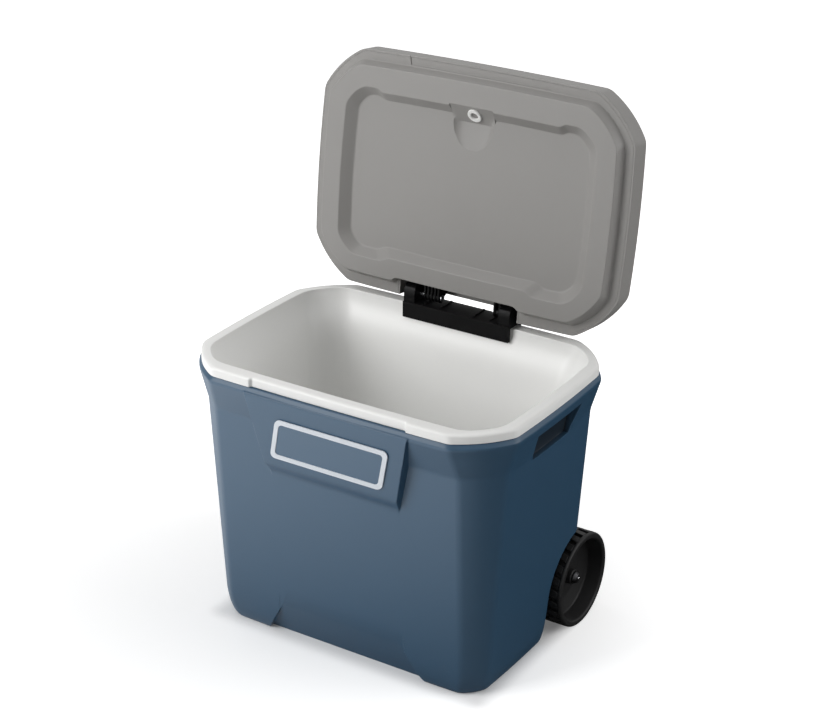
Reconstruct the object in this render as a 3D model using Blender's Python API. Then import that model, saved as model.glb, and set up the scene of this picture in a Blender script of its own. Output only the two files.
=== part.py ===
"""Wheeled cooler with its lid open: tub, lid, hinge, wheels, tow handle and drain.

Metres. +Z is up, -Y is the front with the badge, +X is the right hand end. The origin is on the ground, under the
middle of the tub.
"""

import math

import bmesh
import bpy
from mathutils import Matrix, Vector

# Clearances and cutting
GAP = 0.0003  # between pieces that touch
RUN = 0.0004  # round a pin, axle or tube that turns or slides
CUT = 0.03  # how far a cutter runs past what it cuts
SIDE_STEPS = 4  # segments along each long side of a plan outline
CORNER_STEPS = 4  # segments along each cut corner
ROUND_STEPS = 20  # sides of a round piece

# Plan outlines: sides and cut corners are gently bowed, by these shares of their length
BOW_END_SHARE = 0.0132
BOW_LONG_SHARE = 0.0063
BOW_CORNER_SHARE = 0.075

# Tub shell. The collar's plan and the shell's top lead, and the rest is set in or down from them
COLLAR_HALF_LENGTH = 0.2835
COLLAR_HALF_DEPTH = 0.2010
COLLAR_CORNER = 0.0755
COLLAR_BEVEL = 0.0040
SHELL_TOP = 0.4396
COLLAR_HIGH_DROP = 0.0061
COLLAR_LOW_DROP = 0.0101
COLLAR_HIGH = SHELL_TOP - COLLAR_HIGH_DROP  # the collar's upright band
COLLAR_LOW = SHELL_TOP - COLLAR_LOW_DROP
SHELL_WALL = 0.003
FOOT_IN_X = 0.0395  # plan half sizes where the sloped wall would reach the ground
FOOT_HALF_LENGTH = COLLAR_HALF_LENGTH - FOOT_IN_X
FOOT_IN_Y = 0.0426
FOOT_HALF_DEPTH = COLLAR_HALF_DEPTH - FOOT_IN_Y
FOOT_CORNER = 0.033
FOOT_ROUND_HEIGHT = 0.050
FOOT_ROUND_INSET = 0.0110
WALL_IN_X = 0.0157  # plan half sizes under the collar, from the collar's
WALL_HALF_LENGTH = COLLAR_HALF_LENGTH - WALL_IN_X
WALL_IN_Y = 0.0198
WALL_HALF_DEPTH = COLLAR_HALF_DEPTH - WALL_IN_Y
WALL_CORNER = 0.0545
WALL_DROP = 0.0606
WALL_TOP = SHELL_TOP - WALL_DROP
SEAT_THICKNESS = 0.005
ROUND_SHARES = (0.0, 0.34, 0.67, 1.0)  # of a quarter turn, where a rounded edge has its rings

# Liner
LINER_WALL = 0.003
RIM_IN_X = 0.0035
RIM_HALF_LENGTH = COLLAR_HALF_LENGTH - RIM_IN_X
RIM_IN_Y = 0.0032
RIM_HALF_DEPTH = COLLAR_HALF_DEPTH - RIM_IN_Y
RIM_CORNER_LESS = 0.0017
RIM_CORNER = COLLAR_CORNER - RIM_CORNER_LESS
RIM_RISE = 0.015
RIM_TOP = SHELL_TOP + RIM_RISE
RIM_ROUND = 0.0055
LIP_STEP = 0.0050  # the middle of the front is set back by this
LIP_STEP_HALF_LENGTH = 0.132
LIP_STEP_RAMP = 0.006
MOUTH_IN_X = 0.019
MOUTH_HALF_LENGTH = RIM_HALF_LENGTH - MOUTH_IN_X
MOUTH_IN_Y = 0.0228
MOUTH_HALF_DEPTH = RIM_HALF_DEPTH - MOUTH_IN_Y
MOUTH_CORNER = 0.050
THROAT_IN = 0.0035  # at the depth that the lid's ring reaches
THROAT_HALF_LENGTH = MOUTH_HALF_LENGTH - THROAT_IN
THROAT_HALF_DEPTH = MOUTH_HALF_DEPTH - THROAT_IN
THROAT_DROP = 0.0206
THROAT_HEIGHT = RIM_TOP - THROAT_DROP
BELLY_IN_X = 0.037
BELLY_HALF_LENGTH = RIM_HALF_LENGTH - BELLY_IN_X
BELLY_IN_Y = 0.0433
BELLY_HALF_DEPTH = RIM_HALF_DEPTH - BELLY_IN_Y
BELLY_CORNER = 0.046
BELLY_DROP = 0.0546
BELLY_HEIGHT = RIM_TOP - BELLY_DROP
FLOOR_IN_X = 0.064
FLOOR_HALF_LENGTH = RIM_HALF_LENGTH - FLOOR_IN_X
FLOOR_IN_FRONT = 0.0688
FLOOR_FRONT = RIM_HALF_DEPTH - FLOOR_IN_FRONT
FLOOR_IN_REAR = 0.0848
FLOOR_REAR = RIM_HALF_DEPTH - FLOOR_IN_REAR
FLOOR_CORNER = 0.036
FLOOR_HEIGHT = 0.040
FLOOR_FILLET = 0.009

# Wheels, wells and axle
WHEEL_RADIUS = 0.0775
WHEEL_IN_Y = 0.069
WHEEL_Y = COLLAR_HALF_DEPTH - WHEEL_IN_Y
WHEEL_WIDTH = 0.050
WHEEL_FACE_IN = 0.02  # outer face of the right wheel, from the collar's end
WHEEL_FACE_X = COLLAR_HALF_LENGTH - WHEEL_FACE_IN
WHEEL_BAND = 0.012  # smooth outer part of the tread, at full radius
WHEEL_BAND_BEVEL = 0.002
TREAD_DEPTH = 0.005
LUG_COUNT = 16
LUG_SHARE = 0.62  # of the pitch that a lug takes up
SHOULDER = 0.006
DISH_RADIUS = 0.0635
DISH_DEPTH = 0.026
DISH_FLOOR_RADIUS = 0.034
INNER_DISH_DEPTH = 0.016
HUB_RADIUS = 0.017
HUB_PROUD = 0.010  # of the dish floor
WELL_CLEARANCE = 0.0105
WELL_DEEP = 0.0865  # inner wall of the right well, from the collar's end
WELL_X = COLLAR_HALF_LENGTH - WELL_DEEP
WELL_FRONT_LEAN = 0.008
HUMP_WALL_IN = 0.0105  # inner wall of the liner's hump over a well
HUMP_WALL_X = WELL_X - HUMP_WALL_IN
AXLE_RADIUS = 0.006
AXLE_END_IN = 0.0105
AXLE_HALF_LENGTH = WHEEL_FACE_X - AXLE_END_IN
WASHER_RADIUS = 0.013
WASHER_THICKNESS = 0.0018
NUT_RADIUS = 0.0105
NUT_LENGTH = 0.0065

# Hand pockets
POCKET_TOP_FRONT = -0.064
POCKET_TOP_REAR = 0.068
POCKET_LOW_FRONT = -0.057
POCKET_LOW_REAR = 0.050
POCKET_DROP = 0.0226
POCKET_HIGH = SHELL_TOP - POCKET_DROP
POCKET_HEIGHT = 0.0440
POCKET_LOW = POCKET_HIGH - POCKET_HEIGHT
POCKET_DEEP = 0.0255
POCKET_BACK_X = COLLAR_HALF_LENGTH - POCKET_DEEP

# Kick recess at the foot of the front
KICK_TOP = 0.060
KICK_HALF_LENGTH = 0.108
KICK_FLARE = 0.036
KICK_DEPTH = 0.0230

# Front pad and badge
PAD_HALF_LENGTH = 0.142
PAD_TAPER = 0.216  # lost from the half length for each unit of height
PAD_SIDE = 0.011
PAD_DROP = 0.0091
PAD_TOP = SHELL_TOP - PAD_DROP
PAD_UPRIGHT = 0.1105
PAD_KNEE = PAD_TOP - PAD_UPRIGHT
PAD_FADE = 0.024
PAD_LOW = PAD_KNEE - PAD_FADE
PAD_PROUD = 0.0015
PAD_FRONT_TOP = COLLAR_HALF_DEPTH + PAD_PROUD
PAD_LEAN = 0.013
PAD_FRONT_KNEE = PAD_FRONT_TOP - PAD_LEAN
PAD_FADE_IN = 0.015
PAD_FRONT_LOW = PAD_FRONT_KNEE - PAD_FADE_IN
BADGE_HALF_LENGTH = 0.099
BADGE_HEIGHT = 0.0705
BADGE_DROP = 0.062
BADGE_CENTRE_Z = PAD_TOP - BADGE_DROP
BADGE_THICKNESS = 0.0022
BADGE_CORNER = 0.008
BADGE_LEAN = 0.24  # its ends lean with the pad's
BADGE_CENTRE_X = 0.0042

# Lid
LID_IN_X = 0.0055
LID_HALF_LENGTH = COLLAR_HALF_LENGTH - LID_IN_X
LID_IN_Y = 0.00925
LID_HALF_DEPTH = COLLAR_HALF_DEPTH - LID_IN_Y
LID_CORNER_LESS = 0.0042
LID_CORNER = COLLAR_CORNER - LID_CORNER_LESS
LID_SEAM = 0.0016  # between the rim and the closed lid
LID_SKIRT = 0.033
LID_THICKNESS = 0.0445
LID_ROUND = 0.012
LID_CROWN = 0.002
LID_CROWN_INSET = 0.060
LID_WALL = 0.003
RING_BASE_IN_X = 0.0165
RING_BASE_HALF_LENGTH = LID_HALF_LENGTH - RING_BASE_IN_X
RING_BASE_IN_Y = 0.01675
RING_BASE_FRONT = LID_HALF_DEPTH - RING_BASE_IN_Y
RING_BASE_REAR = RING_BASE_FRONT
RING_IN_X = 0.0218
RING_HALF_LENGTH = LID_HALF_LENGTH - RING_IN_X
RING_IN_FRONT = 0.02225
RING_FRONT = LID_HALF_DEPTH - RING_IN_FRONT
RING_IN_REAR = 0.02455
RING_REAR = LID_HALF_DEPTH - RING_IN_REAR
RING_CORNER = 0.0555
RING_HEIGHT = 0.0175
PANEL_EDGE_IN_X = 0.0535
PANEL_EDGE_HALF_LENGTH = LID_HALF_LENGTH - PANEL_EDGE_IN_X
PANEL_EDGE_IN_FRONT = 0.05825
PANEL_EDGE_FRONT = LID_HALF_DEPTH - PANEL_EDGE_IN_FRONT
PANEL_EDGE_IN_REAR = 0.05125
PANEL_EDGE_REAR = LID_HALF_DEPTH - PANEL_EDGE_IN_REAR
PANEL_EDGE_CORNER = 0.034
PANEL_SLOPE_X = 0.017
PANEL_HALF_LENGTH = PANEL_EDGE_HALF_LENGTH - PANEL_SLOPE_X
PANEL_SLOPE_FRONT = 0.013
PANEL_FRONT = PANEL_EDGE_FRONT - PANEL_SLOPE_FRONT
PANEL_SLOPE_REAR = 0.0135
PANEL_REAR = PANEL_EDGE_REAR - PANEL_SLOPE_REAR
PANEL_CORNER = 0.026
PANEL_DEPTH = 0.013
PANEL_REAR_STEP = 0.0085
FINGER_HALF_LENGTH = 0.136
FINGER_DEPTH = 0.0035
FINGER_INSET = 0.0120
SCOOP_HALF_LENGTH = 0.040
SCOOP_END_HALF_LENGTH = 0.018
SCOOP_LENGTH = 0.058
PLUG_RADIUS = 0.012
PLUG_BORE = 0.007
PLUG_PROUD = 0.003
PLUG_DEPTH = 0.0055
PLUG_SET_BACK = 0.014

# Hinge
AXIS_INSET = 0.0062  # in from the lid's rear edge
AXIS_RISE = 0.0148  # above the lid's lower face
OPEN_DEG = 97.37
NOTCH_HALF_LENGTH = 0.107
NOTCH_DEPTH = 0.0307
NOTCH_HEIGHT = 0.0355
NOTCH_ROOF_DEPTH = 0.008
BRACKET_IN = 0.010  # in from the notch's ends
BRACKET_HALF_LENGTH = NOTCH_HALF_LENGTH - BRACKET_IN
BRACKET_FRONT_IN = 0.012
BRACKET_FRONT = MOUTH_HALF_DEPTH - BRACKET_FRONT_IN
BRACKET_REAR_OUT = 0.0082
BRACKET_REAR = RIM_HALF_DEPTH + BRACKET_REAR_OUT
PLATE_THICKNESS = 0.0074
PLATE_DROP = 0.0210  # below the rim
SHELF_THICKNESS = 0.0055
HOOK_THICKNESS = 0.0045
HOOK_DROP = 0.0130
EAR_WIDTH = 0.0205
EAR_RADIUS = 0.0195
PIN_RADIUS = 0.003
PIN_HEAD_RADIUS = 0.0055
PIN_HEAD = 0.002
LEAF_CLEAR_RIGHT = 0.003  # between a leaf and the ear beside it
LEAF_CLEAR_LEFT = 0.010
LEAF_WIDTH_RIGHT = 0.0125
LEAF_WIDTH_LEFT = 0.0285
LEAF_KNUCKLE_RADIUS = 0.0085
LEAF_ARM = 0.0040
LEAF_RIB = 0.0040
LEAF_REACH = 0.0175

# Tow handle: everything leans back with the tubes
HANDLE_LEAN_DEG = 9.0
HANDLE_HALF_SPAN = 0.100
HANDLE_FOOT_OUT = 0.0246
HANDLE_FOOT_Y = FOOT_HALF_DEPTH + HANDLE_FOOT_OUT
HANDLE_FOOT_Z = 0.052
GUIDE_RADIUS = 0.0125
GUIDE_LESS = 0.1096
GUIDE_LENGTH = SHELL_TOP - GUIDE_LESS
TUBE_WALL = 0.0013
MIDDLE_RADIUS = 0.0107
MIDDLE_RISE = 0.012  # the middle tube shows this much when stowed
INNER_RADIUS = 0.0089
INNER_RISE = 0.0035  # and this much of the inner tube shows below the grip
TUBE_OVERLAP = 0.070  # left inside when a stage is drawn out
GUIDE_CAP_RADIUS = 0.0165
GUIDE_CAP_LENGTH = 0.020
GUIDE_CAP_LIP = 0.003
GRIP_RADIUS = 0.0130
GRIP_SIDE = 0.0145
UPPER_BRACKET_DROP = 0.1046
UPPER_BRACKET_Z = SHELL_TOP - UPPER_BRACKET_DROP
UPPER_BRACKET_HEIGHT = 0.034
LOWER_BRACKET_Z = 0.086
LOWER_BRACKET_HEIGHT = 0.034
HANDLE_BRACKET_MARGIN = 0.0060
STRUT_HALF_LENGTH = 0.030
SCREW_RADIUS = 0.0022
SCREW_HEAD_RADIUS = 0.0048
SCREW_HEAD = 0.0024
SCREW_LENGTH = 0.016
SCREW_PLATE = 0.005
SCREW_X = 0.055

# Drain, low on the left end
DRAIN_Y = -0.030
DRAIN_Z = 0.068
SPOUT_RADIUS = 0.0105
SPOUT_BORE = 0.0075
SPOUT_FLANGE_RADIUS = 0.0150
SPOUT_FLANGE = 0.0025
SPOUT_TAIL = 0.0130  # outside the shell
DRAIN_BOSS_RADIUS = 0.0180  # flat bosses on the shell and in the liner
GASKET_RADIUS = 0.0165
GASKET_THICKNESS = 0.0018
DRAIN_NUT_RADIUS = 0.0170
DRAIN_NUT_LENGTH = 0.0075
DRAIN_HEAD_RADIUS = 0.0130
DRAIN_HEAD = 0.0055
DRAIN_STEM = 0.0180

# Worked out from the sizes above
RIM_BASE = SHELL_TOP + GAP
WHEEL_IN_X = WHEEL_FACE_X - WHEEL_WIDTH
WELL_RADIUS = WHEEL_RADIUS + WELL_CLEARANCE
LID_FACE = RIM_TOP + LID_SEAM  # the closed lid's lower face
AXIS_Y = LID_HALF_DEPTH - AXIS_INSET
AXIS_Z = LID_FACE + AXIS_RISE
SHELF_TOP = RIM_TOP + GAP + SHELF_THICKNESS
NOTCH_Y = LID_HALF_DEPTH - NOTCH_DEPTH
PIN_BORE = PIN_RADIUS + RUN
MIDDLE_LENGTH = GUIDE_LENGTH - TUBE_WALL + MIDDLE_RISE
INNER_LENGTH = MIDDLE_LENGTH - TUBE_WALL + INNER_RISE + GRIP_RADIUS
MIDDLE_TRAVEL = GUIDE_LENGTH - TUBE_OVERLAP - TUBE_WALL
INNER_TRAVEL = MIDDLE_LENGTH - TUBE_OVERLAP - TUBE_WALL


def clear_scene():
    for obj in list(bpy.data.objects):
        bpy.data.objects.remove(obj, do_unlink=True)


def finish(name, colour, roughness, metallic=0.0):
    """A material for one piece."""
    mat = bpy.data.materials.new(name)
    mat.use_nodes = True
    shader = mat.node_tree.nodes["Principled BSDF"]
    shader.inputs["Base Color"].default_value = (*colour, 1.0)
    shader.inputs["Roughness"].default_value = roughness
    shader.inputs["Metallic"].default_value = metallic
    mat.diffuse_color = (*colour, 1.0)
    return mat


# Shapes


def bowed(start, end, share, steps):
    """Points from start up to, not including, end, along a shallow arc that stands proud on the right."""
    run = (end[0] - start[0], end[1] - start[1])
    out = (run[1] * share, -run[0] * share)
    points = []
    for i in range(steps):
        t = i / steps
        lift = 4 * t * (1 - t)
        points.append((start[0] + run[0] * t + out[0] * lift, start[1] + run[1] * t + out[1] * lift))
    return points


def stepped(start, end, share, half_length, ramp, depth):
    """A long side, like bowed, whose middle is set in by depth between two short ramps."""
    run = end[0] - start[0]
    proud = abs(run) * share
    inward = 1 if run > 0 else -1
    marks = [abs(start[0]), half_length + ramp / 2, half_length - ramp / 2]
    places = [-m for m in marks] + [-half_length / 3, half_length / 3] + [marks[2], marks[1]]
    points = []
    for place in places:
        x = place * inward
        t = (x - start[0]) / run
        lift = 4 * proud * t * (1 - t)
        in_middle = abs(place) < half_length
        points.append((x, start[1] + inward * ((depth if in_middle else 0) - lift)))
    return points


def plan(half_length, front, rear, corner, front_step=0.0, rear_step=0.0, rear_half=NOTCH_HALF_LENGTH):
    """An eight-sided plan outline, counter-clockwise from the front's left end, with bowed sides and corners."""
    in_x = half_length - corner
    ends_x = half_length - (front + rear - 2 * corner) * BOW_END_SHARE
    front_y = front - 2 * in_x * BOW_LONG_SHARE
    rear_y = rear - 2 * in_x * BOW_LONG_SHARE
    corners = [
        (-in_x, -front_y), (in_x, -front_y), (ends_x, corner - front), (ends_x, rear - corner),
        (in_x, rear_y), (-in_x, rear_y), (-ends_x, rear - corner), (-ends_x, corner - front),
    ]
    points = []
    for i, start in enumerate(corners):
        end = corners[(i + 1) % len(corners)]
        if i == 0:
            points += stepped(start, end, BOW_LONG_SHARE, LIP_STEP_HALF_LENGTH, LIP_STEP_RAMP, front_step)
        elif i == 4:
            points += stepped(start, end, BOW_LONG_SHARE, rear_half, LIP_STEP_RAMP, rear_step)
        elif i % 2:
            points += bowed(start, end, BOW_CORNER_SHARE, CORNER_STEPS)
        else:
            points += bowed(start, end, BOW_END_SHARE, SIDE_STEPS)
    return points


def ring(points, z):
    return [Vector((x, y, z)) for x, y in points]


def new_object(name, bm, mat=None, origin=None):
    """An object from a bmesh, with its origin moved to the given place and no change to where its mesh lies."""
    place = Vector(origin or (0, 0, 0))
    bmesh.ops.translate(bm, verts=bm.verts, vec=-place)
    bmesh.ops.recalc_face_normals(bm, faces=bm.faces)
    mesh = bpy.data.meshes.new(name)
    bm.to_mesh(mesh)
    bm.free()
    mesh.shade_smooth()
    mesh.set_sharp_from_angle(angle=math.radians(35))
    obj = bpy.data.objects.new(name, mesh)
    obj.location = place
    bpy.context.scene.collection.objects.link(obj)
    if mat:
        mesh.materials.append(mat)
    return obj


def bridge(bm, rows):
    """Side faces between rows of equal count, and a cap on the first and on the last.

    Each side face is split along the same diagonal, so nested surfaces that bow alike stay clear of each other.
    """
    for low, high in zip(rows, rows[1:]):
        for i, vert in enumerate(low):
            j = (i + 1) % len(low)
            bm.faces.new((vert, low[j], high[j]))
            bm.faces.new((vert, high[j], high[i]))
    for end in (rows[0], rows[-1]):
        bm.faces.new(end)


def lofted(rings):
    """A closed solid through rings of equal count, capped at both ends."""
    bm = bmesh.new()
    bridge(bm, [[bm.verts.new(p) for p in points] for points in rings])
    bmesh.ops.triangulate(bm, faces=[f for f in bm.faces if len(f.verts) > 3])
    return bm


def box(low, high):
    bm = bmesh.new()
    size = Vector(high) - Vector(low)
    middle = (Vector(high) + Vector(low)) / 2
    bmesh.ops.create_cube(bm, size=1.0, matrix=Matrix.Translation(middle) @ Matrix.Diagonal((*size, 1)))
    return bm


def prism(outline, low, high, axis):
    """An outline extruded along axis 0 (outline in Y, Z) or axis 1 (outline in X, Z) from low to high."""
    bm = bmesh.new()
    order = (lambda p: (low, p[0], p[1])) if axis == 0 else (lambda p: (p[0], low, p[1]))
    face = bm.faces.new([bm.verts.new(order(p)) for p in outline])
    grown = bmesh.ops.extrude_face_region(bm, geom=[face])
    verts = [v for v in grown["geom"] if isinstance(v, bmesh.types.BMVert)]
    shift = Vector((high - low, 0, 0)) if axis == 0 else Vector((0, high - low, 0))
    bmesh.ops.translate(bm, verts=verts, vec=shift)
    return bm


def turned(profile, centre, direction, steps=ROUND_STEPS):
    """A solid of revolution: profile is (radius, distance along) from one end of the axis to the other."""
    bm = bmesh.new()
    rows = []
    for radius, along in profile:
        if radius == 0:
            rows.append([bm.verts.new((0, 0, along))])
            continue
        angles = [math.tau * k / steps for k in range(steps)]
        rows.append([bm.verts.new((radius * math.cos(a), radius * math.sin(a), along)) for a in angles])
    for low, high in zip(rows, rows[1:]):
        for i in range(steps):
            j = (i + 1) % steps
            loop = [low[i % len(low)], low[j % len(low)], high[j % len(high)], high[i % len(high)]]
            loop = list(dict.fromkeys(loop))
            if len(loop) > 2:
                bm.faces.new(loop)
    turn = Vector(direction).normalized().to_track_quat("Z", "Y").to_matrix().to_4x4()
    bmesh.ops.transform(bm, matrix=Matrix.Translation(Vector(centre)) @ turn, verts=bm.verts)
    return bm


def rod(radius, length, centre, direction, steps=ROUND_STEPS):
    return turned([(0, 0), (radius, 0), (radius, length), (0, length)], centre, direction, steps)


def closed_turn(profile, centre, direction, steps=ROUND_STEPS):
    """Like turned, for a profile that ends where it starts and so leaves a bore."""
    bm = turned(profile, centre, direction, steps)
    bmesh.ops.remove_doubles(bm, verts=bm.verts, dist=GAP / 100)
    return bm


def tube(outer, inner, length, centre, direction, steps=ROUND_STEPS):
    """A pipe open at both ends."""
    profile = [(inner, 0), (outer, 0), (outer, length), (inner, length), (inner, 0)]
    return closed_turn(profile, centre, direction, steps)


def capped_tube(outer, inner, length, floor, centre, direction, steps=ROUND_STEPS):
    """A pipe with a closed foot."""
    profile = [(0, 0), (outer, 0), (outer, length), (inner, length), (inner, floor), (0, floor)]
    return turned(profile, centre, direction, steps)


def helper(name, bm):
    """A cutter or an added block: seen as a wire, left out of the model itself."""
    obj = new_object(name, bm)
    obj.hide_render = True
    obj.display_type = "WIRE"
    return obj


def boolean(obj, other, operation="DIFFERENCE"):
    mod = obj.modifiers.new(other.name, "BOOLEAN")
    mod.operation = operation
    mod.solver = "EXACT"
    mod.object = other
    return mod


def cut(obj, *cutters):
    for cutter in cutters:
        boolean(obj, cutter)


# Outlines at each height of the tub


def wall_at(z):
    """Half length, half depth and corner of the shell's wall between the ground and the collar."""
    t = z / WALL_TOP
    return (
        FOOT_HALF_LENGTH + t * (WALL_HALF_LENGTH - FOOT_HALF_LENGTH),
        FOOT_HALF_DEPTH + t * (WALL_HALF_DEPTH - FOOT_HALF_DEPTH),
        FOOT_CORNER + t * (WALL_CORNER - FOOT_CORNER),
    )


def shell_ring(half_length, half_depth, corner, z, inset=0.0):
    return ring(plan(half_length - inset, half_depth - inset, half_depth - inset, corner), z)


def foot_rings(inset):
    """The rounded foot, from the flat underside up to the wall."""
    rings = []
    for share in ROUND_SHARES:
        angle = share * math.pi / 2
        drawn_in = inset + (FOOT_ROUND_INSET - inset) * (1 - math.sin(angle))
        z = inset + (FOOT_ROUND_HEIGHT - inset) * (1 - math.cos(angle))
        rings.append(shell_ring(*wall_at(z), z, drawn_in))
    return rings


def shell_rings(inset):
    """Outside of the tub's shell, or a surface that lies inset within it, up to the collar."""
    rings = foot_rings(inset)
    rings.append(shell_ring(WALL_HALF_LENGTH, WALL_HALF_DEPTH, WALL_CORNER, WALL_TOP, inset))
    rings.append(shell_ring(COLLAR_HALF_LENGTH, COLLAR_HALF_DEPTH, COLLAR_CORNER, COLLAR_LOW, inset))
    return rings


def liner_ring(half_length, front, rear, corner, z, outset):
    return ring(plan(half_length + outset, front + outset, rear + outset, corner), z)


def liner_rings(outset):
    """Inside of the liner from its floor to its mouth, or a surface that lies outset beyond it."""
    floor = FLOOR_HEIGHT - outset
    fillet = FLOOR_FILLET
    return [
        liner_ring(
            FLOOR_HALF_LENGTH - fillet, FLOOR_FRONT - fillet, FLOOR_REAR - fillet, FLOOR_CORNER, floor,
            outset,
        ),
        liner_ring(FLOOR_HALF_LENGTH, FLOOR_FRONT, FLOOR_REAR, FLOOR_CORNER, floor + fillet, outset),
        liner_ring(BELLY_HALF_LENGTH, BELLY_HALF_DEPTH, BELLY_HALF_DEPTH, BELLY_CORNER, BELLY_HEIGHT, outset),
        liner_ring(THROAT_HALF_LENGTH, THROAT_HALF_DEPTH, THROAT_HALF_DEPTH, MOUTH_CORNER, THROAT_HEIGHT, outset),
        liner_ring(
            MOUTH_HALF_LENGTH, MOUTH_HALF_DEPTH, MOUTH_HALF_DEPTH, MOUTH_CORNER, RIM_TOP - LINER_WALL,
            outset,
        ),
    ]


# Cutters that the shell, the foam and the liner share; grow widens one for the wall round it


def well_cutter(side, grow):
    """Wheel well: an arch over the wheel with a straight front edge, open to the rear and below."""
    radius = WELL_RADIUS + grow
    front = WHEEL_Y - radius
    low = -CUT
    lean = WELL_FRONT_LEAN
    outline = [(front - lean, low), (front, WHEEL_RADIUS)]
    for share in (0.15, 0.30, 0.45, 0.60, 0.75, 0.90, 1.05, 1.20, 1.35, 1.50, 1.65):
        angle = math.pi - share * math.pi / 2
        outline.append((WHEEL_Y + radius * math.cos(angle), WHEEL_RADIUS + radius * math.sin(angle)))
    outline += [(WHEEL_Y + radius, WHEEL_RADIUS), (WHEEL_Y + radius + lean, low)]
    near = WELL_X - grow
    far = WALL_HALF_LENGTH + CUT
    low_x, high_x = (near, far) if side > 0 else (-far, -near)
    return prism(outline, low_x, high_x, 0)


def hump_cutter(side, outset):
    """The space that the liner gives up over a wheel well."""
    radius = WELL_RADIUS + SHELL_WALL + LINER_WALL + WELL_X - HUMP_WALL_X - outset
    top = WHEEL_RADIUS + radius
    front = WHEEL_Y - radius
    outline = [
        (front, -CUT), (front, WHEEL_RADIUS + radius / 2), (front + radius / 2, top),
        (WALL_HALF_DEPTH + CUT, top),
    ]
    outline.append((WALL_HALF_DEPTH + CUT, -CUT))
    near = HUMP_WALL_X + outset
    far = WALL_HALF_LENGTH + CUT
    low_x, high_x = (near, far) if side > 0 else (-far, -near)
    return prism(outline, low_x, high_x, 0)


def pocket_cutter(side, grow):
    """Hand pocket under the collar, its roof hooked up behind the band."""
    near = POCKET_BACK_X - grow
    far = COLLAR_HALF_LENGTH + CUT
    low = POCKET_LOW - grow
    high = POCKET_HIGH + grow
    outline = [(POCKET_LOW_REAR + grow, low), (POCKET_TOP_REAR + grow, high), (POCKET_TOP_FRONT - grow, high)]
    outline.append((POCKET_LOW_FRONT - grow, low))
    bm = bmesh.new()
    rows = []
    for x in (near, far):
        rows.append([bm.verts.new((side * x, y, z)) for y, z in outline])
    bridge(bm, rows)
    return bm


def kick_cutter(grow):
    """Kick recess: a wedge that draws the foot of the front wall in, flared at its ends."""
    wall = wall_at(KICK_TOP)[1]
    slope = KICK_DEPTH / KICK_TOP
    top = KICK_TOP + grow
    half = KICK_HALF_LENGTH + grow
    foot = -CUT
    rows = []
    bm = bmesh.new()
    for z, half_length in ((top, half), (foot, half + KICK_FLARE * (top - foot) / KICK_TOP)):
        back = -(wall - slope * (top - z)) + grow
        rows.append([bm.verts.new(p) for p in (
            (-half_length, -wall - CUT, z), (half_length, -wall - CUT, z), (half_length, back, z),
            (-half_length, back, z),
        )])
    bridge(bm, rows)
    return bm


def tunnel_cutter(grow):
    half = WHEEL_IN_X
    return rod(AXLE_RADIUS + GAP + grow, 2 * half, (-half, WHEEL_Y, WHEEL_RADIUS), (1, 0, 0))


def drain_cutter(grow):
    reach = WALL_HALF_LENGTH - FLOOR_HALF_LENGTH + CUT
    return rod(SPOUT_RADIUS + grow, reach + CUT, (-FLOOR_HALF_LENGTH + CUT, DRAIN_Y, DRAIN_Z), (-1, 0, 0))


def tub_cutters(tag, grow):
    made = []
    for side, word in ((1, "right"), (-1, "left")):
        made.append(helper(f"{tag}_well_{word}", well_cutter(side, grow)))
        made.append(helper(f"{tag}_pocket_{word}", pocket_cutter(side, grow)))
    made.append(helper(f"{tag}_kick", kick_cutter(grow)))
    made.append(helper(f"{tag}_tunnel", tunnel_cutter(grow)))
    return made


# Tub


def make_outer_shell(mat):
    rings = shell_rings(0)
    rings.append(shell_ring(COLLAR_HALF_LENGTH, COLLAR_HALF_DEPTH, COLLAR_CORNER, COLLAR_HIGH))
    rings.append(shell_ring(COLLAR_HALF_LENGTH, COLLAR_HALF_DEPTH, COLLAR_CORNER, SHELL_TOP, COLLAR_BEVEL))
    shell = new_object("outer_shell", lofted(rings), mat)
    pad = helper("pad_block", pad_block())
    boolean(shell, pad, "UNION")
    boss = rod(DRAIN_BOSS_RADIUS, SHELL_WALL, (SHELL_WALL - drain_face(), DRAIN_Y, DRAIN_Z), (-1, 0, 0))
    boolean(shell, helper("drain_boss_outer", boss), "UNION")
    cut(shell, *tub_cutters("shell_cut", 0))

    hollow = shell_rings(SHELL_WALL)
    under = SHELL_TOP - SEAT_THICKNESS
    hollow.append(
        shell_ring(COLLAR_HALF_LENGTH, COLLAR_HALF_DEPTH, COLLAR_CORNER, under, COLLAR_BEVEL + SHELL_WALL),
    )
    inside = helper("shell_hollow", lofted(hollow))
    cut(inside, *tub_cutters("hollow_cut", SHELL_WALL))
    cut(shell, inside)
    seat = [
        liner_ring(MOUTH_HALF_LENGTH, MOUTH_HALF_DEPTH, MOUTH_HALF_DEPTH, MOUTH_CORNER, z, LINER_WALL + GAP)
        for z in (under - SEAT_THICKNESS, SHELL_TOP + CUT)
    ]
    cut(shell, helper("shell_seat", lofted(seat)))
    cut(shell, helper("shell_drain", drain_cutter(GAP)))
    return shell


def pad_block():
    """The front pad that carries the badge, with a soft lower edge and ends that draw in."""
    inner = WALL_HALF_DEPTH - SHELL_WALL
    sections = [(PAD_TOP, PAD_FRONT_TOP), (PAD_KNEE, PAD_FRONT_KNEE), (PAD_LOW, PAD_FRONT_LOW)]
    bm = bmesh.new()
    rows = []
    for z, front in sections:
        half = PAD_HALF_LENGTH - PAD_TAPER * (PAD_TOP - z)
        chamfer = front - inner + PAD_SIDE
        back = min(inner, front - SHELL_WALL) - CUT / 2
        outline = [(-half, -back), (-half + chamfer / 4, -front), (half - chamfer / 4, -front), (half, -back)]
        rows.append([bm.verts.new((x, y, z)) for x, y in outline])
    bridge(bm, rows)
    return bm


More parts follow.
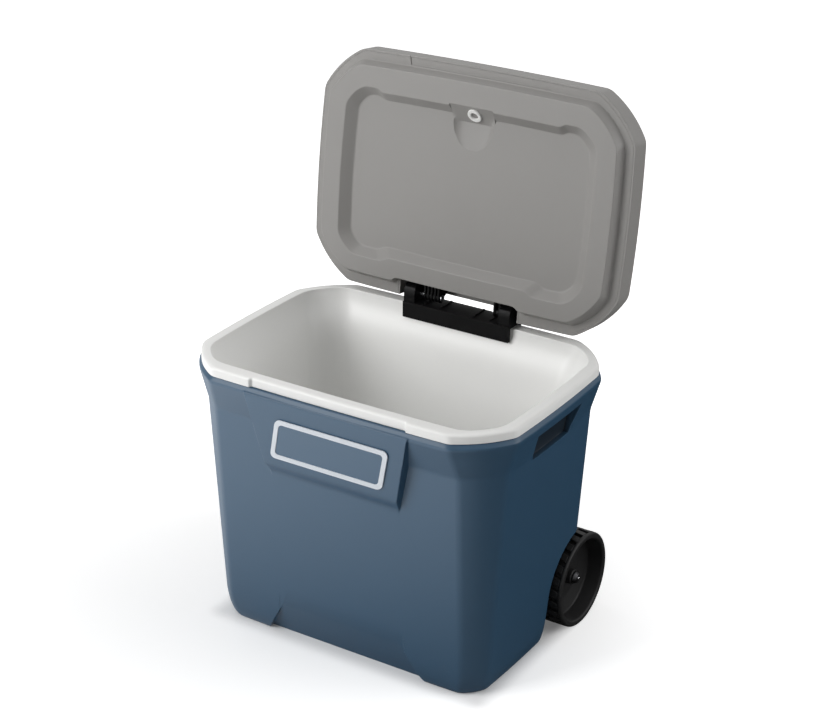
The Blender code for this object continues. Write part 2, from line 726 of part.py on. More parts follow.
def tub_inside(tag, outset):
    """The liner's inside, or a solid that lies outset beyond it, less the humps over the wheel wells."""
    rings = liner_rings(outset)
    wide = LINER_WALL + outset
    rings.append(liner_ring(MOUTH_HALF_LENGTH, MOUTH_HALF_DEPTH, MOUTH_HALF_DEPTH, MOUTH_CORNER, RIM_TOP, wide))
    rings.append([Vector((p.x, p.y, RIM_TOP + CUT)) for p in rings[-1]])
    inside = helper(f"{tag}_inside", lofted(rings))
    for side, word in ((1, "right"), (-1, "left")):
        cut(inside, helper(f"{tag}_hump_{word}", hump_cutter(side, outset)))
    return inside


def make_foam_core(mat):
    """Insulation between the shell and the liner."""
    inset = SHELL_WALL + GAP
    top = SHELL_TOP - SEAT_THICKNESS - GAP
    rings = shell_rings(inset)
    rings.append(shell_ring(COLLAR_HALF_LENGTH, COLLAR_HALF_DEPTH, COLLAR_CORNER, top, COLLAR_BEVEL + inset))
    foam = new_object("foam_core", lofted(rings), mat)
    cut(foam, *tub_cutters("foam_cut", inset))
    cut(foam, tub_inside("foam", LINER_WALL + GAP))
    cut(foam, helper("foam_drain", drain_cutter(2 * GAP)))
    return foam


def make_liner(mat):
    """White liner: the tub inside, turned out over the shell as a lip with a rounded edge."""
    outer = liner_rings(LINER_WALL)

    def lip(inset, z):
        half_depth = RIM_HALF_DEPTH - inset
        return ring(plan(RIM_HALF_LENGTH - inset, half_depth, half_depth, RIM_CORNER, front_step=LIP_STEP), z)

    outer.append(lip(LINER_WALL, RIM_TOP - LINER_WALL))
    outer.append(lip(LINER_WALL, RIM_BASE))
    outer.append(lip(0, RIM_BASE))
    for share in ROUND_SHARES:
        angle = share * math.pi / 2
        outer.append(lip(RIM_ROUND * (1 - math.cos(angle)), RIM_TOP - RIM_ROUND * (1 - math.sin(angle))))
    liner = new_object("inner_liner", lofted(outer), mat)

    for side, word in ((1, "right"), (-1, "left")):
        cut(liner, helper(f"liner_hump_{word}", hump_cutter(side, LINER_WALL)))
    cut(liner, tub_inside("liner", 0))
    boss = rod(DRAIN_BOSS_RADIUS, LINER_WALL, (-drain_seat(), DRAIN_Y, DRAIN_Z), (-1, 0, 0))
    boolean(liner, helper("drain_boss_inner", boss), "UNION")
    cut(liner, helper("liner_drain", drain_cutter(GAP)))
    return liner


def pad_tilt():
    return math.atan2(PAD_FRONT_TOP - PAD_FRONT_KNEE, PAD_TOP - PAD_KNEE)


def make_badge(mat):
    """Blank plate with cut corners, flat on the pad's sloped front."""
    half_x = BADGE_HALF_LENGTH
    half_z = BADGE_HEIGHT / 2
    c = BADGE_CORNER
    outline = [
        (-half_x + c, -half_z), (half_x - c, -half_z), (half_x, -half_z + c), (half_x, half_z - c),
        (half_x - c, half_z), (-half_x + c, half_z), (-half_x, half_z - c), (-half_x, -half_z + c),
    ]
    outline = [(x + BADGE_LEAN * z, z) for x, z in outline]
    bm = prism(outline, -BADGE_THICKNESS - GAP, -GAP, 1)
    share = (BADGE_CENTRE_Z - PAD_KNEE) / (PAD_TOP - PAD_KNEE)
    front = PAD_FRONT_KNEE + share * (PAD_FRONT_TOP - PAD_FRONT_KNEE)
    badge = new_object("badge_plate", bm, mat)
    badge.location = (BADGE_CENTRE_X, -front, BADGE_CENTRE_Z)
    badge.rotation_euler = (pad_tilt(), 0, 0)
    return badge


# Wheels and axle


def wheel_solid():
    """Wheel about its own axis, outer face at +Z: tread, shoulders, dished faces and a hub with its bore."""
    bore = AXLE_RADIUS + RUN
    core = WHEEL_RADIUS - TREAD_DEPTH
    rim = DISH_RADIUS
    face = WHEEL_WIDTH
    floor = face - DISH_DEPTH
    profile = [
        (bore, 0), (HUB_RADIUS, 0), (HUB_RADIUS, INNER_DISH_DEPTH), (core - SHOULDER, INNER_DISH_DEPTH),
        (core - SHOULDER, 0), (core, SHOULDER), (core, face - WHEEL_BAND), (WHEEL_RADIUS, face - WHEEL_BAND),
        (WHEEL_RADIUS, face - WHEEL_BAND_BEVEL), (rim, face), (DISH_FLOOR_RADIUS, floor),
        (HUB_RADIUS, floor), (HUB_RADIUS, floor + HUB_PROUD), (bore, floor + HUB_PROUD), (bore, 0),
    ]
    return closed_turn(profile, (0, 0, 0), (0, 0, 1), 2 * LUG_COUNT)


def tread_lugs():
    """Lugs round the tread; odd and even lugs lean opposite ways across it."""
    pitch = math.tau / LUG_COUNT
    half = pitch * LUG_SHARE / 2
    core = WHEEL_RADIUS - 2 * TREAD_DEPTH
    bm = bmesh.new()
    for index in range(LUG_COUNT):
        lean = half / 2 * (1 if index % 2 else -1)
        rows = []
        for z, turn in ((SHOULDER, lean), (WHEEL_WIDTH - WHEEL_BAND + WHEEL_BAND_BEVEL, -lean)):
            corners = []
            for radius, share in ((core, -1), (core, 1), (WHEEL_RADIUS, 1), (WHEEL_RADIUS, -1)):
                a = index * pitch + share * half + turn
                corners.append(bm.verts.new((radius * math.cos(a), radius * math.sin(a), z)))
            rows.append(corners)
        bridge(bm, rows)
    return bm


def make_wheels(mat):
    for side, word in ((1, "right"), (-1, "left")):
        wheel = new_object(f"wheel_{word}", wheel_solid(), mat)
        tread = helper(f"tread_{word}", tread_lugs())
        tread.parent = wheel
        boolean(wheel, tread, "UNION")
        wheel.location = (side * WHEEL_IN_X, WHEEL_Y, WHEEL_RADIUS)
        wheel.rotation_euler = (0, side * math.pi / 2, 0)


def make_axle(steel, bright):
    centre = (-AXLE_HALF_LENGTH, WHEEL_Y, WHEEL_RADIUS)
    bm = rod(AXLE_RADIUS, 2 * AXLE_HALF_LENGTH, centre, (1, 0, 0))
    new_object("axle", bm, steel, (0, WHEEL_Y, WHEEL_RADIUS))
    hub_face = WHEEL_FACE_X - DISH_DEPTH + HUB_PROUD
    for side, word in ((1, "right"), (-1, "left")):
        out = (side, 0, 0)
        bore = AXLE_RADIUS + GAP
        seat = (side * (WHEEL_IN_X - GAP - WASHER_THICKNESS), WHEEL_Y, WHEEL_RADIUS)
        new_object(f"axle_washer_{word}", tube(WASHER_RADIUS, bore, WASHER_THICKNESS, seat, out), steel, seat)
        start = (side * (hub_face + RUN), WHEEL_Y, WHEEL_RADIUS)
        depth = AXLE_HALF_LENGTH - hub_face - RUN + GAP
        crown = NUT_LENGTH + GAP
        profile = [
            (bore, 0), (NUT_RADIUS, 0), (NUT_RADIUS, crown / 3), (NUT_RADIUS * 2 / 3, depth + crown / 3),
            (0, depth + crown / 2),
            (0, depth), (bore, depth), (bore, 0),
        ]
        new_object(f"push_nut_{word}", closed_turn(profile, start, out), bright, start)


# Hinge


def make_bracket(mat):
    """Black bracket: a plate inside the liner, a shelf over the rim, a hook behind it and a round ear at each end."""
    half = BRACKET_HALF_LENGTH
    low = RIM_TOP - PLATE_DROP
    shelf = RIM_TOP + GAP
    front = BRACKET_FRONT
    plate = front + PLATE_THICKNESS
    rear = BRACKET_REAR
    hook = RIM_TOP - HOOK_DROP
    outline = [
        (front, low), (plate, low), (plate, shelf), (rear - HOOK_THICKNESS, shelf), (rear - HOOK_THICKNESS, hook),
        (rear, hook), (rear, SHELF_TOP), (front, SHELF_TOP),
    ]
    bracket = new_object("hinge_bracket", prism(outline, -half, half, 0), mat)
    for side, word in ((1, "right"), (-1, "left")):
        inner = half - EAR_WIDTH
        low_x, high_x = (inner, half) if side > 0 else (-half, -inner)
        steps = 20
        arch = [(AXIS_Y + EAR_RADIUS, SHELF_TOP - SHELF_THICKNESS / 2)]
        for k in range(steps + 1):
            angle = math.pi * k / steps
            arch.append((AXIS_Y + EAR_RADIUS * math.cos(angle), AXIS_Z + EAR_RADIUS * math.sin(angle)))
        arch.append((AXIS_Y - EAR_RADIUS, SHELF_TOP - SHELF_THICKNESS / 2))
        ear = helper(f"ear_{word}", prism(arch, low_x, high_x, 0))
        boolean(bracket, ear, "UNION")
        bore = rod(PIN_BORE, EAR_WIDTH + 2 * CUT, (side * (inner - CUT), AXIS_Y, AXIS_Z), (side, 0, 0))
        bore_cutter = helper(f"ear_bore_{word}", bore)
        cut(bracket, bore_cutter)
    return bracket


def leaf_span(side):
    """How far from the middle a leaf starts and ends."""
    clear, width = (LEAF_CLEAR_RIGHT, LEAF_WIDTH_RIGHT) if side > 0 else (LEAF_CLEAR_LEFT, LEAF_WIDTH_LEFT)
    outer = BRACKET_HALF_LENGTH - EAR_WIDTH - clear
    return outer - width, outer


def make_leaf(side, word, mat, lid_axis):
    """Hinge leaf in the lid's notch: two arms down to the knuckles, joined by ribs under the roof."""
    inner, outer = leaf_span(side)
    roof = LID_FACE + NOTCH_HEIGHT - GAP
    front = NOTCH_Y + GAP
    low = SHELF_TOP + GAP + RUN
    low_x, high_x = (inner, outer) if side > 0 else (-outer, -inner)
    knuckle = LEAF_KNUCKLE_RADIUS
    steps = 14
    outline = [(front, roof), (front, low)]
    for k in range(steps + 1):
        angle = -math.pi / 2 + math.pi * k / steps
        outline.append((AXIS_Y + knuckle * math.cos(angle), AXIS_Z + knuckle * math.sin(angle)))
    outline.append((front + LEAF_REACH, roof))
    leaf = new_object(f"hinge_leaf_{word}", prism(outline, low_x, high_x, 0), mat)
    pocket_low_x, pocket_high_x = low_x + LEAF_ARM, high_x - LEAF_ARM
    relief = box(
        (pocket_low_x, front + LEAF_RIB, low - CUT),
        (pocket_high_x, AXIS_Y - knuckle - RUN, roof - LEAF_RIB),
    )
    cut(leaf, helper(f"leaf_relief_{word}", relief))
    bore = rod(PIN_BORE, outer - inner + 2 * CUT, (side * (inner - CUT), AXIS_Y, AXIS_Z), (side, 0, 0))
    cut(leaf, helper(f"leaf_bore_{word}", bore))
    hang(leaf, lid_axis)
    return leaf


def make_pin(side, word, mat):
    """Headed pin through the leaf into the ear, its head at the leaf's inner side."""
    start = leaf_span(side)[0] - PIN_HEAD - RUN
    shank = BRACKET_HALF_LENGTH - start
    profile = [
        (0, 0), (PIN_HEAD_RADIUS, 0), (PIN_HEAD_RADIUS, PIN_HEAD), (PIN_RADIUS, PIN_HEAD),
        (PIN_RADIUS, shank), (0, shank),
    ]
    centre = (side * start, AXIS_Y, AXIS_Z)
    new_object(f"hinge_pin_{word}", turned(profile, centre, (side, 0, 0)), mat, centre)


# Lid: modelled closed, then swung open about the hinge axis


def hang(obj, lid_axis):
    """Hands a piece that is modelled in the closed pose to the lid's empty, with every cutter that shapes it."""
    place = Vector((0, AXIS_Y, AXIS_Z))
    for item in [obj] + [m.object for m in obj.modifiers if m.type == "BOOLEAN"]:
        if item.parent == lid_axis:
            continue
        shift = item.location - place
        item.parent = lid_axis
        item.location = shift
        for mod in item.modifiers:
            if mod.type == "BOOLEAN" and mod.object.parent != lid_axis:
                mod.object.location -= place
                mod.object.parent = lid_axis


def lid_ring(half_length, front, rear, corner, z, rear_step=0.0):
    return ring(plan(half_length, front, rear, corner, rear_step=rear_step), z)


def lid_outer_rings(inset):
    """Outside of the lid from its lower edge over the round to its crown, or a surface inset within it."""
    rings = []
    length = LID_HALF_LENGTH - inset
    depth = LID_HALF_DEPTH - inset
    low = LID_FACE - (CUT if inset else 0)
    rings.append(lid_ring(length, depth, depth, LID_CORNER, low))
    top = LID_FACE + LID_THICKNESS - inset
    start = LID_FACE + LID_SKIRT
    for share in ROUND_SHARES:
        angle = share * math.pi / 2
        drawn = LID_ROUND * (1 - math.cos(angle))
        z = start + (top - start) * math.sin(angle)
        rings.append(lid_ring(length - drawn, depth - drawn, depth - drawn, LID_CORNER, z))
    inner = LID_CROWN_INSET
    rings.append(lid_ring(length - inner, depth - inner, depth - inner, LID_CORNER / 2, top + LID_CROWN))
    return rings


def notch_cutter(grow):
    """Notch over the hinge, under the lid's roof."""
    half = NOTCH_HALF_LENGTH + grow
    front = NOTCH_Y - grow
    rear = LID_HALF_DEPTH + CUT
    return box((-half, front, LID_FACE - CUT), (half, rear, LID_FACE + NOTCH_HEIGHT + grow))


def make_lid_outer(mat, lid_axis):
    lid = new_object("lid_outer", lofted(lid_outer_rings(0)), mat)
    notch = helper("lid_notch", notch_cutter(0))
    roof = box(
        (-NOTCH_HALF_LENGTH, LID_HALF_DEPTH - NOTCH_ROOF_DEPTH, LID_FACE + NOTCH_HEIGHT / 2),
        (NOTCH_HALF_LENGTH, LID_HALF_DEPTH + CUT, LID_FACE + LID_THICKNESS + CUT),
    )
    hollow = helper("lid_hollow", lofted(lid_outer_rings(LID_WALL)))
    cut(hollow, helper("lid_notch_wall", notch_cutter(LID_WALL)))
    cut(lid, notch, helper("lid_notch_roof", roof), hollow)
    finger_y = LID_HALF_DEPTH - FINGER_INSET
    finger = box(
        (-FINGER_HALF_LENGTH, -LID_HALF_DEPTH - CUT, LID_FACE - CUT),
        (FINGER_HALF_LENGTH, -finger_y, LID_FACE + FINGER_DEPTH),
    )
    cut(lid, helper("lid_finger_relief", finger))
    hang(lid, lid_axis)
    return lid


def pan_rings():
    """The lid's inner pan: underside from the panel out to the flange, then its upper side back in."""
    low = LID_FACE - RING_HEIGHT
    panel = low + PANEL_DEPTH
    notch_step = RING_REAR - NOTCH_Y
    base_step = RING_BASE_REAR - NOTCH_Y
    edge = LID_WALL + GAP
    wall = LID_WALL
    flange_length = LID_HALF_LENGTH - edge
    flange_depth = LID_HALF_DEPTH - edge
    return [
        lid_ring(PANEL_HALF_LENGTH, PANEL_FRONT, PANEL_REAR, PANEL_CORNER, panel, PANEL_REAR_STEP),
        lid_ring(
            PANEL_EDGE_HALF_LENGTH, PANEL_EDGE_FRONT, PANEL_EDGE_REAR, PANEL_EDGE_CORNER, low,
            PANEL_REAR_STEP,
        ),
        lid_ring(RING_HALF_LENGTH, RING_FRONT, RING_REAR, RING_CORNER, low, notch_step),
        lid_ring(RING_BASE_HALF_LENGTH, RING_BASE_FRONT, RING_BASE_REAR, RING_CORNER, LID_FACE, base_step),
        lid_ring(flange_length, flange_depth, flange_depth, LID_CORNER, LID_FACE),
        lid_ring(flange_length, flange_depth, flange_depth, LID_CORNER, LID_FACE + wall),
        lid_ring(
            RING_BASE_HALF_LENGTH - wall, RING_BASE_FRONT - wall, RING_BASE_REAR - wall, RING_CORNER,
            LID_FACE + wall, base_step,
        ),
        lid_ring(
            RING_HALF_LENGTH - wall, RING_FRONT - wall, RING_REAR - wall, RING_CORNER, low + wall,
            notch_step,
        ),
        lid_ring(
            PANEL_EDGE_HALF_LENGTH + wall, PANEL_EDGE_FRONT + wall, PANEL_EDGE_REAR + wall, PANEL_EDGE_CORNER,
            low + wall, PANEL_REAR_STEP,
        ),
        lid_ring(PANEL_HALF_LENGTH, PANEL_FRONT, PANEL_REAR, PANEL_CORNER, panel + wall, PANEL_REAR_STEP),
    ]


def scoop_block(rise, reach, grow=0.0):
    """The scoop: a tapered ramp from the ring's inner edge down to the panel, or the space that it takes up."""
    low = LID_FACE - RING_HEIGHT
    panel = low + PANEL_DEPTH
    front = -PANEL_EDGE_FRONT - reach
    end = -PANEL_EDGE_FRONT + SCOOP_LENGTH + grow
    wide = SCOOP_HALF_LENGTH + grow
    narrow = SCOOP_END_HALF_LENGTH + grow
    bm = bmesh.new()
    rows = []
    for z_front, z_end in ((low, panel), (panel + rise, panel + rise)):
        places = ((-wide, front, z_front), (wide, front, z_front), (narrow, end, z_end), (-narrow, end, z_end))
        rows.append([bm.verts.new(p) for p in places])
    bridge(bm, rows)
    bmesh.ops.triangulate(bm, faces=[f for f in bm.faces if len(f.verts) > 3])
    return bm


def plug_place():
    """Centre of the plug on the scoop, closed pose, and the scoop's outward direction there."""
    low = LID_FACE - RING_HEIGHT
    share = PLUG_SET_BACK / SCOOP_LENGTH
    centre = Vector((0, -PANEL_EDGE_FRONT + PLUG_SET_BACK, low + share * PANEL_DEPTH))
    tilt = math.atan2(PANEL_DEPTH, SCOOP_LENGTH)
    return centre, Vector((0, math.sin(tilt), -math.cos(tilt)))


def make_lid_inner(mat, lid_axis):
    pan = new_object("lid_inner", lofted(pan_rings()), mat)
    notch = box(
        (-NOTCH_HALF_LENGTH - edge_gap(), NOTCH_Y - edge_gap(), LID_FACE - GAP),
        (NOTCH_HALF_LENGTH + edge_gap(), LID_HALF_DEPTH + CUT, LID_FACE + CUT),
    )
    cut(pan, helper("pan_notch", notch))
    boolean(pan, helper("scoop_block", scoop_block(LID_WALL / 2, LID_WALL)), "UNION")
    finger = box(
        (-FINGER_HALF_LENGTH, -LID_HALF_DEPTH - CUT, LID_FACE - CUT),
        (FINGER_HALF_LENGTH, FINGER_INSET - LID_HALF_DEPTH, LID_FACE + LID_WALL / 3),
    )
    cut(pan, helper("pan_finger_relief", finger))
    centre, out = plug_place()
    seat = rod(PLUG_RADIUS + GAP, PLUG_DEPTH + CUT, centre - out * (PLUG_DEPTH - PLUG_PROUD), out)
    cut(pan, helper("plug_seat", seat))
    hang(pan, lid_axis)
    return pan


def edge_gap():
    return LID_WALL + GAP


def make_lid_foam(mat, lid_axis):
    """Insulation inside the lid."""
    edge = LID_WALL + GAP
    outer = lid_outer_rings(edge)
    floor = LID_FACE + LID_WALL + GAP
    outer[0] = [Vector((p.x, p.y, floor)) for p in outer[0]]
    low = LID_FACE - RING_HEIGHT
    wall = LID_WALL + GAP
    notch_step = RING_REAR - NOTCH_Y
    base_step = RING_BASE_REAR - NOTCH_Y
    panel = low + PANEL_DEPTH
    under = [
        lid_ring(PANEL_HALF_LENGTH, PANEL_FRONT, PANEL_REAR, PANEL_CORNER, panel + 2 * wall, PANEL_REAR_STEP),
        lid_ring(
            PANEL_EDGE_HALF_LENGTH + 2 * wall, PANEL_EDGE_FRONT + 2 * wall, PANEL_EDGE_REAR + 2 * wall,
            PANEL_EDGE_CORNER,
            low + wall, PANEL_REAR_STEP,
        ),
        lid_ring(
            RING_HALF_LENGTH - 2 * wall, RING_FRONT - 2 * wall, RING_REAR - 2 * wall, RING_CORNER,
            low + wall, notch_step,
        ),
        lid_ring(
            RING_BASE_HALF_LENGTH - 2 * wall, RING_BASE_FRONT - 2 * wall, RING_BASE_REAR - 2 * wall,
            RING_CORNER, floor,
            base_step,
        ),
    ]
    foam = new_object("lid_foam", lofted(under + outer), mat)
    cut(foam, helper("foam_notch", notch_cutter(2 * edge)))
    cut(foam, helper("foam_scoop", scoop_block(LID_WALL, LID_WALL + GAP, GAP)))
    hang(foam, lid_axis)
    return foam


def make_plug(mat, lid_axis):
    """White ring plug that closes the foam's filling hole."""
    centre, out = plug_place()
    start = centre - out * (PLUG_DEPTH - PLUG_PROUD - GAP)
    length = PLUG_DEPTH
    rim = PLUG_RADIUS - PLUG_PROUD / 3
    profile = [
        (0, 0), (PLUG_RADIUS, 0), (PLUG_RADIUS, length - PLUG_PROUD / 3), (rim, length),
        (PLUG_BORE + PLUG_PROUD / 3, length),
        (PLUG_BORE, length - PLUG_PROUD / 2), (0, length - PLUG_PROUD / 2),
    ]
    plug = new_object("lid_plug", turned(profile, start, out, 32), mat)
    hang(plug, lid_axis)
    return plug


# Tow handle


def lean_axis():
    lean = math.radians(HANDLE_LEAN_DEG)
    return Vector((0, math.sin(lean), math.cos(lean)))


def along_handle(side, distance):
    """A point on one leg's centre line, so far from its foot."""
    return Vector((side * HANDLE_HALF_SPAN, HANDLE_FOOT_Y, HANDLE_FOOT_Z)) + lean_axis() * distance


def handle_y(z):
    return HANDLE_FOOT_Y + (z - HANDLE_FOOT_Z) * math.tan(math.radians(HANDLE_LEAN_DEG))


def handle_bracket(name, z, height, mat):
    """Bar across the rear wall that both guide tubes pass through, with a strut to the wall behind each screw."""
    margin = HANDLE_BRACKET_MARGIN
    low = z - height / 2
    high = z + height / 2
    half = HANDLE_HALF_SPAN + GUIDE_RADIUS + margin
    wall = wall_at(high)[1] + GAP
    rear = handle_y(z) + GUIDE_RADIUS + margin
    outline = [(wall, low), (rear, low), (rear, high), (wall, high)]
    bm = prism(outline, -half, half, 0)
    bracket = new_object(name, bm, mat)
    reach = height + 2 * CUT
    for side, word in ((1, "right"), (-1, "left")):
        start = along_handle(side, (low - CUT - HANDLE_FOOT_Z) / math.cos(math.radians(HANDLE_LEAN_DEG)))
        cut(bracket, helper(f"{name}_bore_{word}", rod(GUIDE_RADIUS + GAP, reach, start, lean_axis())))
    for side, word in ((1, "right"), (-1, "left"), (0, "middle")):
        centre = side * SCREW_X
        half_web = STRUT_HALF_LENGTH / 3
        well = box(
            (centre - half_web, wall + SCREW_PLATE, low + margin),
            (centre + half_web, rear + CUT, high + CUT),
        )
        cut(bracket, helper(f"{name}_well_{word}", well))
    for side, word in ((1, "right"), (-1, "left")):
        hole = rod(
            SCREW_RADIUS + GAP, SCREW_PLATE + 2 * CUT, (side * SCREW_X, wall - CUT, z + margin / 2),
            (0, 1, 0),
        )
        cut(bracket, helper(f"{name}_hole_{word}", hole))
    return bracket, wall


def make_handle(black, steel, bright):
    """Guides fixed to the tub, and two telescoping stages that the grip tops."""
    axis = lean_axis()
    parts = {}
    for name, z, height in (
        ("handle_bracket_upper", UPPER_BRACKET_Z, UPPER_BRACKET_HEIGHT),
        ("handle_bracket_lower", LOWER_BRACKET_Z, LOWER_BRACKET_HEIGHT),
    ):
        bracket, wall = handle_bracket(name, z, height, black)
        parts[name] = bracket
        for side, word in ((1, "right"), (-1, "left")):
            seat = (side * SCREW_X, wall + SCREW_PLATE + GAP + SCREW_HEAD, z + HANDLE_BRACKET_MARGIN / 2)
            profile = [
                (0, 0), (SCREW_HEAD_RADIUS, 0), (SCREW_HEAD_RADIUS, SCREW_HEAD), (SCREW_RADIUS, SCREW_HEAD),
                (SCREW_RADIUS, SCREW_HEAD + SCREW_LENGTH), (0, SCREW_HEAD + SCREW_LENGTH),
            ]
            place = name.split("_")[-1]
            screw = new_object(
                f"handle_screw_{place}_{word}", turned(profile, seat, (0, -1, 0), 12), bright, seat,
            )
            hole = rod(SCREW_RADIUS + GAP, SCREW_HEAD + SCREW_LENGTH + CUT, seat, (0, -1, 0), 12)
            parts[screw.name] = helper(f"screw_hole_{place}_{word}", hole)
    for side, word in ((1, "right"), (-1, "left")):
        foot = along_handle(side, 0)
        guide = capped_tube(GUIDE_RADIUS, GUIDE_RADIUS - TUBE_WALL, GUIDE_LENGTH, TUBE_WALL, foot, axis, 20)
        new_object(f"guide_tube_{word}", guide, steel, foot)
        seat = along_handle(side, GUIDE_LENGTH + GAP - GUIDE_CAP_LENGTH)
        lip = MIDDLE_RADIUS + RUN
        skirt = GUIDE_RADIUS + GAP
        top = GUIDE_CAP_LENGTH + GUIDE_CAP_LIP
        profile = [
            (skirt, 0), (GUIDE_CAP_RADIUS, 0), (GUIDE_CAP_RADIUS, top), (lip, top), (lip, GUIDE_CAP_LENGTH),
            (skirt, GUIDE_CAP_LENGTH), (skirt, 0),
        ]
        new_object(f"guide_collar_{word}", closed_turn(profile, seat, axis), black, seat)
        foot = along_handle(side, TUBE_WALL + GAP)
        middle = capped_tube(MIDDLE_RADIUS, MIDDLE_RADIUS - TUBE_WALL, MIDDLE_LENGTH, TUBE_WALL, foot, axis, 20)
        new_object(f"middle_tube_{word}", middle, steel, foot)
        foot = along_handle(side, 2 * TUBE_WALL + 2 * GAP)
        new_object(f"inner_tube_{word}", rod(INNER_RADIUS, INNER_LENGTH, foot, axis, 20), steel, foot)
    make_grip(black, axis)
    return parts


def make_grip(mat, axis):
    """Grip bar across both inner tubes, with a socket over each."""
    seat = 2 * TUBE_WALL + 2 * GAP + INNER_LENGTH
    middle = along_handle(1, seat)
    half = HANDLE_HALF_SPAN + GRIP_SIDE
    outline = []
    steps = 16
    for k in range(steps):
        angle = math.tau * k / steps
        outline.append((middle.y + GRIP_RADIUS * math.cos(angle), middle.z + GRIP_RADIUS * math.sin(angle)))
    grip = new_object("tow_grip", prism(outline, -half, half, 0), mat)
    for side, word in ((1, "right"), (-1, "left")):
        deep = along_handle(side, seat - GRIP_RADIUS - CUT)
        socket = rod(INNER_RADIUS + GAP, GRIP_RADIUS + CUT + GAP, deep, axis, 20)
        cut(grip, helper(f"grip_socket_{word}", socket))
    return grip


# Drain


def drain_face():
    """How far out the shell's drain boss reaches: as far as the sloped wall does beside its upper edge."""
    return wall_at(DRAIN_Z + DRAIN_BOSS_RADIUS)[0]


def drain_seat():
    """How far out the liner's drain boss has its flat face: where the sloped wall is beside its lower edge."""
    rise = DRAIN_Z - DRAIN_BOSS_RADIUS - FLOOR_HEIGHT - FLOOR_FILLET
    slope = (BELLY_HALF_LENGTH - FLOOR_HALF_LENGTH) / (BELLY_HEIGHT - FLOOR_HEIGHT - FLOOR_FILLET)
    return FLOOR_HALF_LENGTH + slope * rise


def make_drain(white, rubber, black):
    """Spout through both walls, held by a nut on a gasket outside, and a pull plug in its bore."""
    out = (-1, 0, 0)
    face = drain_face() + GAP
    seat = drain_seat() - GAP
    tip = drain_face() + SPOUT_TAIL
    start = (SPOUT_FLANGE - seat, DRAIN_Y, DRAIN_Z)
    reach = tip - seat + SPOUT_FLANGE
    profile = [
        (SPOUT_BORE, 0), (SPOUT_FLANGE_RADIUS, 0), (SPOUT_FLANGE_RADIUS, SPOUT_FLANGE),
        (SPOUT_RADIUS, SPOUT_FLANGE),
        (SPOUT_RADIUS, reach), (SPOUT_BORE, reach), (SPOUT_BORE, 0),
    ]
    new_object("drain_spout", closed_turn(profile, start, out), white, start)
    bore = SPOUT_RADIUS + GAP
    place = (-face, DRAIN_Y, DRAIN_Z)
    new_object("drain_gasket", tube(GASKET_RADIUS, bore, GASKET_THICKNESS, place, out), rubber, place)
    place = (-face - GASKET_THICKNESS - GAP, DRAIN_Y, DRAIN_Z)
    nut = new_object("drain_nut", rod(DRAIN_NUT_RADIUS, DRAIN_NUT_LENGTH, place, out, 6), white, place)
    cut(nut, helper("drain_nut_bore", rod(bore, 2 * CUT, (CUT - face, DRAIN_Y, DRAIN_Z), out)))
    stem = (DRAIN_STEM - tip, DRAIN_Y, DRAIN_Z)
    fit = SPOUT_BORE - RUN
    head = DRAIN_STEM + GAP
    profile = [(0, 0), (fit, 0), (fit, head), (DRAIN_HEAD_RADIUS, head), (DRAIN_HEAD_RADIUS, head + DRAIN_HEAD)]
    profile.append((0, head + DRAIN_HEAD))
    new_object("drain_plug", turned(profile, stem, out), black, stem)


def main():
    clear_scene()
    blue = finish("shell_blue", (0.045, 0.095, 0.150), 0.45)
    white = finish("liner_white", (0.72, 0.72, 0.71), 0.40)
    grey = finish("lid_grey", (0.245, 0.240, 0.232), 0.48)
    pan_grey = finish("pan_grey", (0.262, 0.257, 0.249), 0.48)
    foam = finish("foam_cream", (0.80, 0.74, 0.52), 0.90)
    black = finish("hinge_black", (0.012, 0.012, 0.013), 0.42)
    tyre = finish("wheel_black", (0.016, 0.016, 0.017), 0.55)
    steel = finish("tube_steel", (0.55, 0.56, 0.58), 0.28, 1.0)
    bright = finish("nut_bright", (0.75, 0.76, 0.78), 0.20, 1.0)
    badge = finish("badge_blank", (0.060, 0.120, 0.185), 0.35)
    rubber = finish("gasket_rubber", (0.02, 0.02, 0.02), 0.70)

    shell = make_outer_shell(blue)
    core = make_foam_core(foam)
    liner = make_liner(white)
    make_badge(badge)
    make_wheels(tyre)
    make_axle(steel, bright)
    make_bracket(black)

    lid_axis = bpy.data.objects.new("lid_axis", None)
    lid_axis.location = (0, AXIS_Y, AXIS_Z)
    bpy.context.scene.collection.objects.link(lid_axis)
    make_lid_outer(grey, lid_axis)
    make_lid_inner(pan_grey, lid_axis)
    make_lid_foam(foam, lid_axis)
    make_plug(white, lid_axis)
    for side, word in ((1, "right"), (-1, "left")):
        make_leaf(side, word, black, lid_axis)
        make_pin(side, word, bright)
    lid_axis.rotation_euler = (-math.radians(OPEN_DEG), 0, 0)

    parts = make_handle(black, steel, bright)
    for name, hole in parts.items():
        if name.startswith("handle_screw"):
            cut(shell, hole)
            cut(core, hole)
    make_drain(white, rubber, black)


main()
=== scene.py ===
"""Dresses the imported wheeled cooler: shells, lid, hinge, wheels, handle and drain, in a plain studio.

Run as a script inside Blender. Metres, +Z up, -Y is the front, +X the right hand end.
"""

